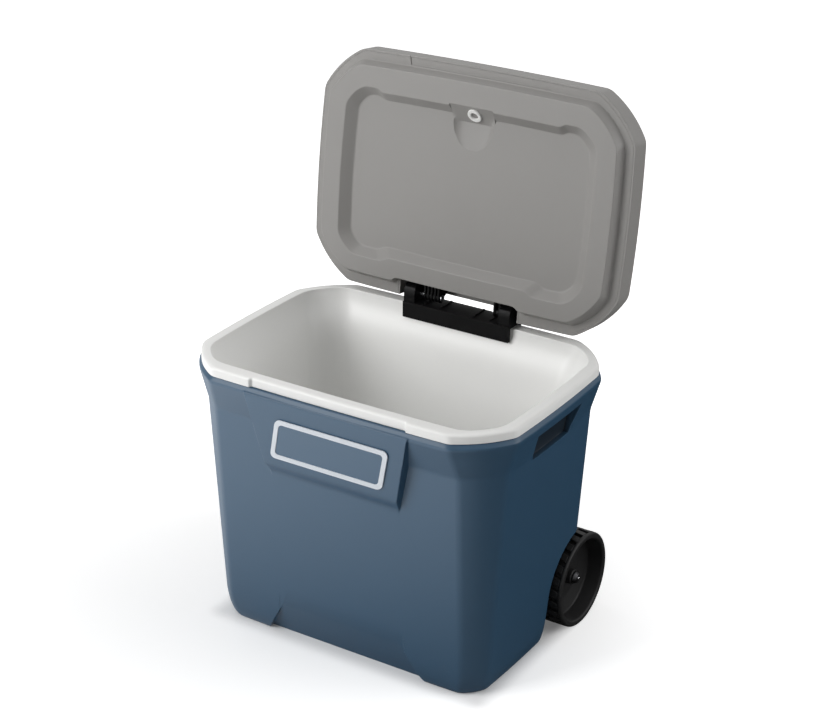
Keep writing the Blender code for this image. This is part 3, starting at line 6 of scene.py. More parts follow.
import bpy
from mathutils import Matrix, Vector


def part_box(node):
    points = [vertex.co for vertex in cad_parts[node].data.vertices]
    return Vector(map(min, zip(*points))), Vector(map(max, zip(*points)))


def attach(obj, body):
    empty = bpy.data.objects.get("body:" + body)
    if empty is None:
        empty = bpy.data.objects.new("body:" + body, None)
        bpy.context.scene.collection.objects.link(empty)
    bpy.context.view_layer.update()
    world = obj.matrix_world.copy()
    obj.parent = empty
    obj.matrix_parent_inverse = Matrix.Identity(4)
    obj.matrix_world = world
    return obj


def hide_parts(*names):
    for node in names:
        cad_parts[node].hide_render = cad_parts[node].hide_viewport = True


bl_info = {
    "name": "Wheeled Cooler Dressing",
    "version": (1, 0, 0),
    "blender": (4, 5, 0),
    "location": "View3D > Sidebar > Cooler",
    "description": "Builds the visible pieces and finishes of a wheeled cooler round its packed frame",
    "category": "Object",
}

import math

import bmesh
import bpy
from bpy.props import FloatProperty, FloatVectorProperty, IntProperty, PointerProperty
from bpy.types import Operator, Panel, PropertyGroup
from mathutils import Matrix, Vector

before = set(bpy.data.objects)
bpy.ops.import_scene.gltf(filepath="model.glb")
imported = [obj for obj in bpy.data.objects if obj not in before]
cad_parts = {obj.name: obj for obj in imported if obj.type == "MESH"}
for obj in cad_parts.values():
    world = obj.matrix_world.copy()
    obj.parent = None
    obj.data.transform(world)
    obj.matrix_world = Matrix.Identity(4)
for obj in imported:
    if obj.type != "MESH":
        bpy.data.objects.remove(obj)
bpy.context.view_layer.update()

GAP = 0.0003  # between pieces that touch
CUT = 0.03  # how far a cutter runs past what it cuts

# Plan outlines: how far sides and cut corners bow out, as shares of their length, and their divisions
BOW_END = 0.0132
BOW_LONG = 0.0063
BOW_CUT = 0.075
OUTER_STEPS = 5
INNER_STEPS = 8
END_STEPS = 14
CUT_STEPS = 8
TURN_STEPS = 4
STEP_SHARES = (0.0, 0.05, 0.2, 0.5, 0.8, 0.95, 1.0)

# Tub
SHELL_WALL = 0.003
LINER_WALL = 0.003
WALL_TOP = 0.379
RIM_TOP = 0.4546
RIM_BASE = 0.4399
SHELL_TOP = 0.4396
WHEEL_Y = 0.132
WHEEL_Z = 0.0775
WELL_RADIUS = 0.088
WELL_X = 0.197
DRAIN_Y = -0.030
DRAIN_Z = 0.068

# Lid and hinge, closed pose
LID_FACE = 0.4562
AXIS = Vector((0.0, 0.18555, 0.4710))
OPEN_ANGLE = math.radians(97.37)
RING_HEIGHT = 0.0175
PANEL_DEPTH = 0.013
NOTCH_HALF = 0.107
NOTCH_Y = 0.16105
NOTCH_TOP = LID_FACE + 0.0355
LID_HALF_DEPTH = 0.19175

# Tow handle
LEAN = math.radians(9.0)
LEAN_AXIS = Vector((0.0, math.sin(LEAN), math.cos(LEAN)))
HANDLE_FOOT = Vector((0.100, 0.1830, 0.052))

SIDES = ((1, "right"), (-1, "left"))
LEFT = (-1, 0, 0)


# Sizes and colours that a user would change


class CoolerTubSizes(PropertyGroup):
    pad_half: FloatProperty(
        name="Pad half length", description="Half the length of the raised front pad at its top",
        default=0.142, min=0.05, max=0.18, subtype="DISTANCE", unit="LENGTH",
    )
    kick_depth: FloatProperty(
        name="Kick recess depth", description="How far the foot of the front wall is drawn in",
        default=0.023, min=0.0, max=0.03, subtype="DISTANCE", unit="LENGTH",
    )
    rim_round: FloatProperty(
        name="Rim round", description="Radius of the white rim's upper outer edge",
        default=0.0052, min=0.001, max=0.007, subtype="DISTANCE", unit="LENGTH",
    )
    badge_edge: FloatProperty(
        name="Badge edge", description="Width of the blank badge's pale edge",
        default=0.0080, min=0.002, max=0.012, subtype="DISTANCE", unit="LENGTH",
    )


class CoolerLidSizes(PropertyGroup):
    panel_jog: FloatProperty(
        name="Panel jog", description="How far the middle of the sunken panel's front edge is set in",
        default=0.0058, min=0.0, max=0.010, subtype="DISTANCE", unit="LENGTH",
    )
    scoop_half: FloatProperty(
        name="Scoop half width", description="Half the width of the scoop in the lid's pan",
        default=0.0375, min=0.02, max=0.05, subtype="DISTANCE", unit="LENGTH",
    )
    edge_round: FloatProperty(
        name="Lid round", description="Radius of the lid's upper outer edge",
        default=0.012, min=0.004, max=0.02, subtype="DISTANCE", unit="LENGTH",
    )


class CoolerWheelSizes(PropertyGroup):
    radius: FloatProperty(
        name="Wheel radius", description="Radius over the tread",
        default=(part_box("wheel_right")[1].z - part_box("wheel_right")[0].z) / 2,
        min=0.05, max=0.1, subtype="DISTANCE", unit="LENGTH",
    )
    lugs: IntProperty(
        name="Lugs", description="Tread blocks in each of the two rows", default=24, min=8, max=48,
    )
    lug_depth: FloatProperty(
        name="Lug depth", description="How deep the tread's grooves are",
        default=0.0042, min=0.001, max=0.008, subtype="DISTANCE", unit="LENGTH",
    )


class CoolerColours(PropertyGroup):
    shell: FloatVectorProperty(
        name="Shell", description="Blue of the moulded tub", subtype="COLOR",
        size=3, default=(0.0215, 0.0645, 0.118), min=0.0, max=1.0,
    )
    liner: FloatVectorProperty(
        name="Liner", description="White of the liner and its rim", subtype="COLOR",
        size=3, default=(0.83, 0.83, 0.815), min=0.0, max=1.0,
    )
    lid: FloatVectorProperty(
        name="Lid", description="Grey of the lid", subtype="COLOR",
        size=3, default=(0.247, 0.240, 0.231), min=0.0, max=1.0,
    )
    black: FloatVectorProperty(
        name="Black parts", description="Black of the hinge, grip and brackets", subtype="COLOR",
        size=3, default=(0.0036, 0.0036, 0.0040), min=0.0, max=1.0,
    )
    tyre: FloatVectorProperty(
        name="Wheels", description="Black of the wheels", subtype="COLOR",
        size=3, default=(0.0130, 0.0130, 0.0134), min=0.0, max=1.0,
    )
    edge: FloatVectorProperty(
        name="Badge edge", description="Pale edge of the blank badge", subtype="COLOR",
        size=3, default=(0.66, 0.70, 0.75), min=0.0, max=1.0,
    )


class CoolerStudio(PropertyGroup):
    key: FloatProperty(
        name="Key lamp", description="Power of the large lamp at the left front",
        default=89.0, min=0.0, unit="POWER",
    )
    side: FloatProperty(
        name="Side lamp", description="Power of the lamp at the right", default=50.0, min=0.0, unit="POWER",
    )
    top: FloatProperty(
        name="Top lamp", description="Power of the lamp overhead", default=19.0, min=0.0, unit="POWER",
    )
    low: FloatProperty(
        name="Low lamp", description="Power of the low lamp at the front", default=9.5, min=0.0, unit="POWER",
    )
    high: FloatProperty(
        name="High lamp", description="Power of the high lamp at the left",
        default=12.0, min=0.0, unit="POWER",
    )
    rear: FloatProperty(
        name="Rear lamp", description="Power of the lamp behind the lid", default=6.5, min=0.0, unit="POWER",
    )
    sky: FloatProperty(
        name="Sky", description="Strength of the sky that gloss shows", default=0.9, min=0.0,
    )
    # Painted reflection: the floor glows this strongly for glossy rays only, which paints a sheen on the
    # tub's front
    sheen: FloatProperty(
        name="Sheen", description="Strength of the pale floor that gloss shows", default=1.70, min=0.0,
    )
    lift: FloatProperty(
        name="Floor lift", description="What the camera sees the floor brighter by, beside the tub",
        default=0.31, min=0.0,
    )
    floor: FloatVectorProperty(
        name="Floor", description="Colour of the floor and the background", subtype="COLOR",
        size=3, default=(0.86, 0.86, 0.86), min=0.0, max=1.0,
    )


# Meshes


def mix(a, b, t):
    return tuple(p + (q - p) * t for p, q in zip(a, b))


def span(a, b):
    """Length of the way between two levels, in the plane that runs up the middle of an end wall."""
    return math.hypot(max(abs(a[0] - b[0]), abs(a[1] - b[1])), a[5] - b[5])


def rounded(levels, radii, steps=4):
    """Levels with each turn rounded along a curve that starts and ends a radius from the turn."""
    made = [levels[0]]
    for before, here, after, radius in zip(levels, levels[1:], levels[2:], radii[1:-1]):
        if not radius:
            made.append(here)
            continue
        start = mix(here, before, min(radius / span(here, before), 0.48))
        end = mix(here, after, min(radius / span(here, after), 0.48))
        for k in range(steps + 1):
            t = k / steps
            made.append(mix(mix(start, here, t), mix(here, end, t), t))
    made.append(levels[-1])
    return made


def side_places(reach, half, ramp):
    """Places from the end of a long side to near its middle, each with its share of the side's step."""
    half = min(half, reach - ramp - 0.001)
    places = [(reach + (half + ramp - reach) * k / OUTER_STEPS, 0.0) for k in range(OUTER_STEPS)]
    last = len(STEP_SHARES) - 1
    places += [(half + ramp * (1 - k / last), share) for k, share in enumerate(STEP_SHARES)]
    places += [(half * (1 - k / INNER_STEPS), 1.0) for k in range(1, INNER_STEPS)]
    return places


def outline(level, front_span=(0.132, 0.006), rear_span=(0.107, 0.010), face=None):
    """Plan outline at a level: eight bowed sides with soft turns between them.

    A level is half length, front, rear, cut corner, softness of the turns, height, step of the front and
    step of the rear. Each span is the half length of a side's step and the length of its ramp. A face
    pulls the stepped part of the front out to that depth.
    """
    half_length, front, rear, corner, soft, z, front_step, rear_step = level
    in_x = half_length - corner
    ends_x = half_length - (front + rear - 2 * corner) * BOW_END
    front_y = front - 2 * in_x * BOW_LONG
    rear_y = rear - 2 * in_x * BOW_LONG
    corners = [Vector(p) for p in (
        (-in_x, -front_y), (in_x, -front_y), (ends_x, corner - front), (ends_x, rear - corner),
        (in_x, rear_y), (-in_x, rear_y), (-ends_x, rear - corner), (-ends_x, corner - front),
    )]
    sides = []
    for i, start in enumerate(corners):
        run = corners[(i + 1) % 8] - start
        length = run.length
        outward = Vector((run.y, -run.x)) / length
        if i % 4 == 0:
            bow = BOW_LONG
            half, ramp = front_span if i == 0 else rear_span
            near = side_places(length / 2 - soft, half, ramp)
            places = [(-x, s) for x, s in near] + [(0.0, 1.0)] + [(x, s) for x, s in reversed(near)]
            marks = [(0.5 + x / length, s) for x, s in places]
        else:
            bow, steps = (BOW_CUT, CUT_STEPS) if i % 2 else (BOW_END, END_STEPS)
            lead = soft / length
            marks = [(lead + (1 - 2 * lead) * k / steps, 0.0) for k in range(steps + 1)]
        step = (front_step, 0, 0, 0, rear_step, 0, 0, 0)[i]
        points = []
        for t, share in marks:
            point = start + run * t + outward * (4 * bow * length * t * (1 - t)) - outward * (step * share)
            if face is not None and i == 0:
                point.y += (-face - point.y) * share
            points.append(point)
        sides.append(points)
    points = []
    for i, side in enumerate(sides):
        points += side
        last, turn, first = side[-1], corners[(i + 1) % 8], sides[(i + 1) % 8][0]
        for k in range(1, TURN_STEPS):
            t = k / TURN_STEPS
            points.append(last.lerp(turn, t).lerp(turn.lerp(first, t), t))
    return [Vector((p.x, p.y, z)) for p in points]


def loft(outlines):
    """A closed solid: the first outline's edges extruded through the others, with both ends filled."""
    bm = bmesh.new()
    verts = [bm.verts.new(p) for p in outlines[0]]
    edges = [bm.edges.new((a, b)) for a, b in zip(verts, verts[1:] + verts[:1])]
    bmesh.ops.contextual_create(bm, geom=edges)
    for points in outlines[1:]:
        grown = bmesh.ops.extrude_edge_only(bm, edges=edges)["geom"]
        fresh = {v for v in grown if isinstance(v, bmesh.types.BMVert)}
        edges = [e for e in grown if isinstance(e, bmesh.types.BMEdge)]
        verts = [next(e.other_vert(v) for e in v.link_edges if e.other_vert(v) in fresh) for v in verts]
        for vert, point in zip(verts, points):
            vert.co = point
    bmesh.ops.contextual_create(bm, geom=edges)
    bmesh.ops.recalc_face_normals(bm, faces=bm.faces)
    return bm


def plain_loft(levels):
    return loft([outline(level) for level in levels])


def bevelled(bm, geom, offset, segments, affect="EDGES"):
    bmesh.ops.bevel(
        bm, geom=geom, offset=offset, segments=segments, profile=0.5, affect=affect, clamp_overlap=True,
        material=-1,
    )


def extruded(bm, face, reach):
    """Makes a closed solid from a face."""
    grown = bmesh.ops.extrude_face_region(bm, geom=[face])["geom"]
    bmesh.ops.translate(bm, verts=[v for v in grown if isinstance(v, bmesh.types.BMVert)], vec=reach)
    bmesh.ops.recalc_face_normals(bm, faces=bm.faces)


def block(low, high, round_by=0.0, segments=2):
    """A box with rounded edges."""
    bm = bmesh.new()
    size = Vector(high) - Vector(low)
    middle = (Vector(high) + Vector(low)) / 2
    bmesh.ops.create_cube(bm, size=1.0, matrix=Matrix.Translation(middle) @ Matrix.Diagonal((*size, 1)))
    if round_by:
        bevelled(bm, bm.edges[:], round_by, segments)
    return bm


def slab(points, low, high, round_by=0.0, segments=2):
    """An outline in Y and Z, extruded along X."""
    bm = bmesh.new()
    extruded(bm, bm.faces.new([bm.verts.new((low, *point)) for point in points]), (high - low, 0, 0))
    if round_by:
        edges = [e for e in bm.edges if e.calc_face_angle(0) > math.radians(28)]
        bevelled(bm, edges, round_by, segments)
    return bm


def span_x(side, near, far):
    """Lowest and highest X of what lies between near and far on one side."""
    return (near, far) if side > 0 else (-far, -near)


def turned(profile, centre, direction, steps=48):
    """A solid of revolution, spun from a profile of (radius, distance along the axis)."""
    bm = bmesh.new()
    verts = [bm.verts.new((radius, 0, distance)) for radius, distance in profile]
    edges = [bm.edges.new(pair) for pair in zip(verts, verts[1:])]
    bmesh.ops.spin(
        bm, geom=verts + edges, cent=(0, 0, 0), axis=(0, 0, 1), dvec=(0, 0, 0), angle=math.tau, steps=steps,
        use_merge=True,
    )
    bmesh.ops.remove_doubles(bm, verts=bm.verts, dist=0.00001)
    bmesh.ops.recalc_face_normals(bm, faces=bm.faces)
    turn = Vector(direction).normalized().to_track_quat("Z", "Y").to_matrix().to_4x4()
    bmesh.ops.transform(bm, matrix=Matrix.Translation(Vector(centre)) @ turn, verts=bm.verts)
    return bm


def rod(radius, length):
    """Profile of a solid bar."""
    return [(0, 0), (radius, 0), (radius, length), (0, length)]


def ring(bore, radius, length):
    """Profile of a ring."""
    return [(bore, 0), (radius, 0), (radius, length), (bore, length), (bore, 0)]


def cup(bore, radius, length, floor=0.0013):
    """Profile of a tube that is shut at its lower end."""
    return [(0, 0), (radius, 0), (radius, length), (bore, length), (bore, floor), (0, floor)]


def eased(profile, radius, steps=3):
    """A profile with its turns rounded, apart from points on the axis."""
    made = [profile[0]]
    for before, here, after in zip(profile, profile[1:], profile[2:]):
        b, h, a = Vector(before), Vector(here), Vector(after)
        reach = min(radius, (b - h).length * 0.45, (a - h).length * 0.45)
        if here[0] == 0 or reach <= 0 or abs((b - h).normalized().dot((a - h).normalized())) > 0.998:
            made.append(here)
            continue
        start, end = h + (b - h).normalized() * reach, h + (a - h).normalized() * reach
        for k in range(steps + 1):
            t = k / steps
            made.append(tuple(start.lerp(h, t).lerp(h.lerp(end, t), t)))
    made.append(profile[-1])
    return made


def joined(*parts):
    """One bmesh from several."""
    whole = bmesh.new()
    for part in parts:
        mesh = bpy.data.meshes.new("part")
        part.to_mesh(mesh)
        part.free()
        whole.from_mesh(mesh)
        bpy.data.meshes.remove(mesh)
    return whole


def linked(name, bm):
    """An object with the bmesh as its mesh, in the scene."""
    mesh = bpy.data.meshes.new(name)
    bm.to_mesh(mesh)
    bm.free()
    obj = bpy.data.objects.new(name, mesh)
    bpy.context.scene.collection.objects.link(obj)
    return obj


def carved(bm, cutters=(), unions=(), bevel=0.0):
    """The bmesh after exact unions and cuts, with its sharp edges rounded; the tools are used up."""
    target = linked("target", bm)
    tools = []
    for group, operation in ((unions, "UNION"), (cutters, "DIFFERENCE")):
        for tool_bm in group:
            tool = tool_bm if isinstance(tool_bm, bpy.types.Object) else linked("tool", tool_bm)
            tools.append(tool)
            mod = target.modifiers.new("carve", "BOOLEAN")
            mod.operation = operation
            mod.solver = "EXACT"
            mod.object = tool
    if bevel:
        weld = target.modifiers.new("weld", "WELD")
        weld.merge_threshold = 0.00015
        mod = target.modifiers.new("round", "BEVEL")
        mod.width = bevel
        mod.segments = 2
        mod.limit_method = "ANGLE"
        mod.angle_limit = math.radians(38)
        mod.use_clamp_overlap = False
        mod.miter_outer = "MITER_ARC"
    result = bpy.data.meshes.new_from_object(target.evaluated_get(bpy.context.evaluated_depsgraph_get()))
    made = bmesh.new()
    made.from_mesh(result)
    bpy.data.meshes.remove(result)
    for obj in tools + [target]:
        mesh = obj.data
        bpy.data.objects.remove(obj, do_unlink=True)
        bpy.data.meshes.remove(mesh)
    return made


def swung(bm):
    """Turns a piece that was made in the closed pose to the open stop."""
    turn = Matrix.Translation(AXIS) @ Matrix.Rotation(-OPEN_ANGLE, 4, "X") @ Matrix.Translation(-AXIS)
    bmesh.ops.transform(bm, matrix=turn, verts=bm.verts)
    return bm


def piece(name, bm, finish, body, nodes, sharp=32.0):
    """A finished piece that rides on a body and stands for CAD nodes."""
    obj = linked(name, bm)
    obj.data.shade_smooth()
    obj.data.set_sharp_from_angle(angle=math.radians(sharp))
    obj.data.materials.append(material(finish))
    obj.modifiers.new("even shading", "WEIGHTED_NORMAL").keep_sharp = True
    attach(obj, body)
    if nodes:
        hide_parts(*nodes)


# Materials


def node(tree, kind, *values, **settings):
    """A shader node with its settings; each input is linked or set, or left alone where its value is None."""
    made = tree.nodes.new(kind)
    for key, value in settings.items():
        setattr(made, key, value)
    for index, value in enumerate(values):
        if isinstance(value, bpy.types.NodeSocket):
            tree.links.new(value, made.inputs[index])
        elif value is not None:
            made.inputs[index].default_value = value
    return made


def calc(tree, operation, *values):
    return node(tree, "ShaderNodeMath", *values, operation=operation).outputs[0]


def graded(tree, value, start, end, low=0.0, high=1.0, smooth=False):
    """Goes from low to high while the value goes from start to end."""
    kind = "SMOOTHSTEP" if smooth else "LINEAR"
    return node(tree, "ShaderNodeMapRange", value, start, end, low, high, interpolation_type=kind).outputs[0]


def own_place(tree):
    return tree.nodes.new("ShaderNodeTexCoord").outputs["Object"]


def noise(tree, vector, scale, detail=3.0, roughness=0.5):
    made = node(tree, "ShaderNodeTexNoise", vector)
    for label, value in (("Scale", scale), ("Detail", detail), ("Roughness", roughness)):
        made.inputs[label].default_value = value
    return made.outputs["Fac"]


def build_grain(group, ins, outs):
    """Fine pebbled texture of a mould's face: height for a bump, and a faint tone from its hollows."""
    sized = node(group, "ShaderNodeVectorMath", own_place(group), operation="SCALE")
    group.links.new(ins["Scale"], sized.inputs["Scale"])
    cells = node(group, "ShaderNodeTexVoronoi", sized.outputs[0], feature="SMOOTH_F1")
    cells.inputs["Scale"].default_value = 1.0
    fine = noise(group, sized.outputs[0], 1.7, 4.0, 0.6)
    group.links.new(calc(group, "MULTIPLY", cells.outputs["Distance"], fine), outs["Height"])
    group.links.new(graded(group, fine, 0.3, 0.7), outs["Tone"])


def build_drift(group, ins, outs):
    """Broad soft unevenness of a large moulded wall, as a cloudy tone."""
    place = own_place(group)
    broad = noise(group, place, 3.2, 2.0)
    middle = noise(group, place, 14.0, 3.0, 0.55)
    spread = graded(group, calc(group, "MULTIPLY_ADD", middle, 0.35, broad), 0.45, 0.92)
    group.links.new(calc(group, "MULTIPLY", spread, ins["Amount"]), outs["Cloud"])


def build_scuffs(group, ins, outs):
    """Sparse short rubs, stretched along one way, where a handled surface is a little duller or paler."""
    place = own_place(group)
    stretched = node(group, "ShaderNodeMapping", place, None, (0.3, 0.5, 0.4), (1.0, 6.0, 2.2))
    thin = graded(group, noise(group, stretched.outputs[0], 38.0, 5.0, 0.62), 0.62, 0.74)
    where = graded(group, noise(group, place, 7.0, 2.0), 0.5, 0.66)
    masked = calc(group, "MULTIPLY", thin, where)
    group.links.new(calc(group, "MULTIPLY", masked, ins["Amount"]), outs["Mask"])


def build_drawn(group, ins, outs):
    """Lines of drawn metal that run along Z."""
    place = own_place(group)
    stretched = node(group, "ShaderNodeMapping", place, None, None, (1.0, 1.0, 0.02))
    lines = noise(group, stretched.outputs[0], 1400.0, 3.0, 0.6)
    both = calc(group, "ADD", lines, noise(group, place, 24.0))
    group.links.new(graded(group, both, 0.7, 1.3), outs["Lines"])


# Shared shader node groups: builder, inputs with their defaults, outputs
GROUPS = {
    "Moulded Grain": (build_grain, {"Scale": 900.0}, ("Height", "Tone")),
    "Wall Drift": (build_drift, {"Amount": 1.0}, ("Cloud",)),
    "Handling Scuffs": (build_scuffs, {"Amount": 1.0}, ("Mask",)),
    "Drawn Metal": (build_drawn, {}, ("Lines",)),
}


def effect(tree, name, **values):
    """Outputs of a shared node group, which is built when it is first asked for."""
    group = bpy.data.node_groups.get(name)
    if not group:
        build, inputs, outputs = GROUPS[name]
        group = bpy.data.node_groups.new(name, "ShaderNodeTree")
        for label, default in inputs.items():
            socket = group.interface.new_socket(label, in_out="INPUT", socket_type="NodeSocketFloat")
            socket.default_value = default
        for label in outputs:
            group.interface.new_socket(label, in_out="OUTPUT", socket_type="NodeSocketFloat")
        ins, outs = group.nodes.new("NodeGroupInput"), group.nodes.new("NodeGroupOutput")
        build(group, ins.outputs, outs.inputs)
    made = tree.nodes.new("ShaderNodeGroup")
    made.node_tree = group
    for label, value in values.items():
        made.inputs[label].default_value = value
    return made.outputs


def blended(tree, fac, *colours):
    """A colour between two, by a factor; either colour may be a socket."""
    pair = [c if isinstance(c, bpy.types.NodeSocket) else (*c, 1.0) for c in colours]
    return node(tree, "ShaderNodeMix", fac, *[None] * 5, *pair, data_type="RGBA").outputs[2]


def tinted(colour, share):
    return tuple(min(1.0, c * share) for c in colour)


# Painted shade of the hand pockets: axis, where the mask starts and is full, and the middle, of that axis
POCKET_SHADE_RANGES = (("X", 0.2665, 0.2585, 0.0), ("Y", 0.0700, 0.0670, 0.0), ("Z", 0.0235, 0.0215, 0.3950))


def pocket_shade_mask(tree):
    """Mask of the painted shade in the hand pockets: grows from nothing at the wall to full at their backs.
    """
    apart = node(tree, "ShaderNodeSeparateXYZ", own_place(tree))
    mask = 1.0
    for axis, start, end, middle in POCKET_SHADE_RANGES:
        off = calc(tree, "ABSOLUTE", calc(tree, "SUBTRACT", apart.outputs[axis], middle))
        mask = calc(tree, "MULTIPLY", graded(tree, off, start, end), mask)
    return mask


def new_finish(name):
    """A material, its node tree and its shader's inputs."""
    mat = bpy.data.materials.new(name)
    mat.use_nodes = True
    return mat, mat.node_tree, mat.node_tree.nodes["Principled BSDF"].inputs


def bumped(tree, inputs, height, strength, distance):
    bump = tree.nodes.new("ShaderNodeBump")
    bump.inputs["Strength"].default_value = strength
    bump.inputs["Distance"].default_value = distance
    tree.links.new(height, bump.inputs["Height"])
    tree.links.new(bump.outputs["Normal"], inputs["Normal"])


def plastic(
    name, colour, roughness, grain, depth=0.10, drift=0.5, scuffs=0.2, specular=0.5, pale=0.1, spread=0.08,
    pockets=False,
):
    """Moulded plastic: pebbled grain, cloudy tone, faint scuffs, and painted shade in hand pockets if asked.
    """
    mat, tree, inputs = new_finish(name)
    inputs["Specular IOR Level"].default_value = specular
    fine = effect(tree, "Moulded Grain", Scale=grain)
    rubs = effect(tree, "Handling Scuffs", Amount=scuffs)["Mask"]
    tone = blended(tree, effect(tree, "Wall Drift", Amount=drift)["Cloud"], colour, tinted(colour, 1.10))
    tone = blended(tree, calc(tree, "MULTIPLY", fine["Tone"], 0.16), tone, tinted(colour, 0.90))
    tone = blended(tree, rubs, tone, tuple(c + (0.75 - c) * pale for c in colour))
    if pockets:
        # painted shade: the hand pockets' backs are darkened to a sixth of the colour
        tone = blended(tree, pocket_shade_mask(tree), tone, tinted(colour, 0.16))
    tree.links.new(tone, inputs["Base Color"])
    rough = calc(tree, "MULTIPLY_ADD", fine["Tone"], spread, roughness - spread / 2)
    tree.links.new(calc(tree, "MULTIPLY_ADD", rubs, 0.2, rough), inputs["Roughness"])
    bumped(tree, inputs, fine["Height"], depth, 0.0004)
    return mat


def metal(name, colour, roughness, lines=0.35):
    """Bare metal with drawn lines that darken it and vary its gloss."""
    mat, tree, inputs = new_finish(name)
    inputs["Metallic"].default_value = 1.0
    drawn = effect(tree, "Drawn Metal")["Lines"]
    tone = blended(tree, calc(tree, "MULTIPLY", drawn, lines), colour, tinted(colour, 0.78))
    tree.links.new(tone, inputs["Base Color"])
    tree.links.new(calc(tree, "MULTIPLY_ADD", drawn, 0.18, roughness), inputs["Roughness"])
    return mat


def foam(name, colour, roughness):
    """Poured foam: open cells as bump and tone."""
    mat, tree, inputs = new_finish(name)
    inputs["Roughness"].default_value = roughness
    fine = effect(tree, "Moulded Grain", Scale=450.0)
    tree.links.new(blended(tree, fine["Tone"], colour, tinted(colour, 0.8)), inputs["Base Color"])
    bumped(tree, inputs, fine["Height"], 0.5, 0.001)
    return mat


def material(name):
    """A finish by name, made when it is first asked for."""
    made = bpy.data.materials.get(name)
    if made:
        return made
    hue = bpy.context.scene.cooler_colours
    finishes = {
        # its hand pockets get painted shade
        "Outer blue": (plastic, hue.shell, 0.44, dict(grain=850.0, scuffs=0.10, pockets=True)),
        "Liner white": (plastic, hue.liner, 0.38, dict(
            grain=700.0, depth=0.04, drift=0.25, scuffs=0.08, pale=0.05, spread=0.06,
        )),
        "Lid grey": (plastic, hue.lid, 0.50, dict(
            grain=760.0, depth=0.12, drift=0.35, scuffs=0.12, pale=0.08,
        )),
        "Hinge black": (plastic, hue.black, 0.46, dict(
            grain=1000.0, drift=0.4, scuffs=0.25, pale=0.03, specular=0.13,
        )),
        "Wheel black": (plastic, hue.tyre, 0.52, dict(
            grain=650.0, depth=0.22, scuffs=0.5, pale=0.03, specular=0.24,
        )),
        "Badge field": (plastic, tinted(hue.shell, 1.15), 0.34, dict(grain=1100.0, depth=0.03, scuffs=0.05)),
        "Badge edge": (plastic, hue.edge, 0.36, dict(
            grain=1100.0, depth=0.03, drift=0.2, scuffs=0.05, pale=0.05,
        )),
        "Rubber": (plastic, (0.018, 0.018, 0.018), 0.7, dict(
            grain=500.0, depth=0.3, scuffs=0.3, pale=0.05, specular=0.3,
        )),
        "Tube steel": (metal, (0.58, 0.59, 0.61), 0.24, {}),
        "Bright steel": (metal, (0.78, 0.79, 0.81), 0.16, dict(lines=0.2)),
        "Dark steel": (metal, (0.060, 0.060, 0.064), 0.34, dict(lines=0.3)),
        "Foam cream": (foam, (0.80, 0.74, 0.52), 0.95, {}),
    }
    make, colour, roughness, values = finishes[name]
    return make(name, colour, roughness, **values)


# Tub


FOOT_ROUND = 0.0110
FOOT_HEIGHT = 0.050


def even_level(half_length, depth, corner, z, soft=0.006, grow=0.0):
    """A level without steps, as deep behind as in front."""
    return (half_length + grow, depth + grow, depth + grow, corner, soft, z, 0.0, 0.0)


def wall_level(z, inset=0.0):
    """The shell's wall between the ground and the collar."""
    t = z / WALL_TOP
    return even_level(0.2440 + t * 0.0238, 0.1584 + t * 0.0228, 0.033 + t * 0.0215, z, grow=-inset)


def foot_levels(inset, steps):
    """The rounded foot, from the flat underside up to the wall."""
    levels = []
    for k in range(steps + 1):
        angle = k / steps * math.pi / 2
        drawn_in = inset + (FOOT_ROUND - inset) * (1 - math.sin(angle))
        z = inset + (FOOT_HEIGHT - inset) * (1 - math.cos(angle))
        levels.append(wall_level(z, drawn_in))
    return levels


def collar_level(z, inset=0.0):
    return even_level(0.2835, 0.2010, 0.0755, z, grow=-inset)


PAD_KEYS = (  # height, depth of the face
    (0.4335, 0.2018), (0.4295, 0.2022), (0.4200, 0.2012), (0.3850, 0.1971), (0.3500, 0.1930),
    (0.3340, 0.1911), (0.3220, 0.1896),
)
PAD_TAPER = 0.216  # lost from the half length for each unit of height
PAD_FADE_TOP = 0.322
PAD_FADE_LOW = 0.296


def pad_half_at(z):
    return bpy.context.scene.cooler_tub.pad_half - PAD_TAPER * (PAD_KEYS[0][0] - max(z, PAD_FADE_LOW))


def pad_face_at(z):
    """Depth of the front pad's face at a height, or None where there is no pad."""
    if z > PAD_KEYS[0][0] or z < PAD_FADE_LOW:
        return None
    if z < PAD_FADE_TOP:
        t = (PAD_FADE_TOP - z) / (PAD_FADE_TOP - PAD_FADE_LOW)
        ease = t * t * (3 - 2 * t)
        return (0.1896 - 0.003 * t) * (1 - ease) + wall_level(z)[1] * ease
    for (high, deep_high), (low, deep_low) in zip(PAD_KEYS, PAD_KEYS[1:]):
        if z >= low:
            return deep_high + (deep_low - deep_high) * (high - z) / (high - low)
    return PAD_KEYS[-1][1]


def shell_body():
    """Outside of the tub's shell as one solid."""
    heights = (0.09, 0.15, 0.21, 0.26, 0.290, PAD_FADE_LOW, 0.299, 0.302, 0.306, 0.310, 0.314, 0.318)
    heights += (PAD_FADE_TOP, 0.330, 0.340, 0.352)
    levels = foot_levels(0.0, 8) + [wall_level(z) for z in heights]
    collar = [
        wall_level(0.352), wall_level(WALL_TOP), collar_level(0.4295), collar_level(0.4335),
        collar_level(SHELL_TOP, 0.004),
    ]
    levels += rounded(collar, [0, 0.005, 0.0016, 0.0014, 0])[1:] + [collar_level(SHELL_TOP, 0.0075)]
    outlines = []
    for level in levels:
        pad = (pad_half_at(level[5]), 0.0036)
        outlines.append(outline(level, front_span=pad, face=pad_face_at(level[5])))
    return loft(outlines)


def well_tool(side, grow):
    """Wheel well: an arch over the wheel, open to the rear and below."""
    radius = WELL_RADIUS + grow
    front, rear = WHEEL_Y - radius, WHEEL_Y + radius
    points = [(front - 0.008, -CUT), (front, WHEEL_Z)]
    for k in range(1, 23):
        angle = math.pi - k / 22 * 0.80 * math.pi
        points.append((WHEEL_Y + radius * math.cos(angle), WHEEL_Z + radius * math.sin(angle)))
    points += [(rear, WHEEL_Z), (rear + 0.008, -CUT)]
    return slab(points, *span_x(side, WELL_X - grow, 0.2978))


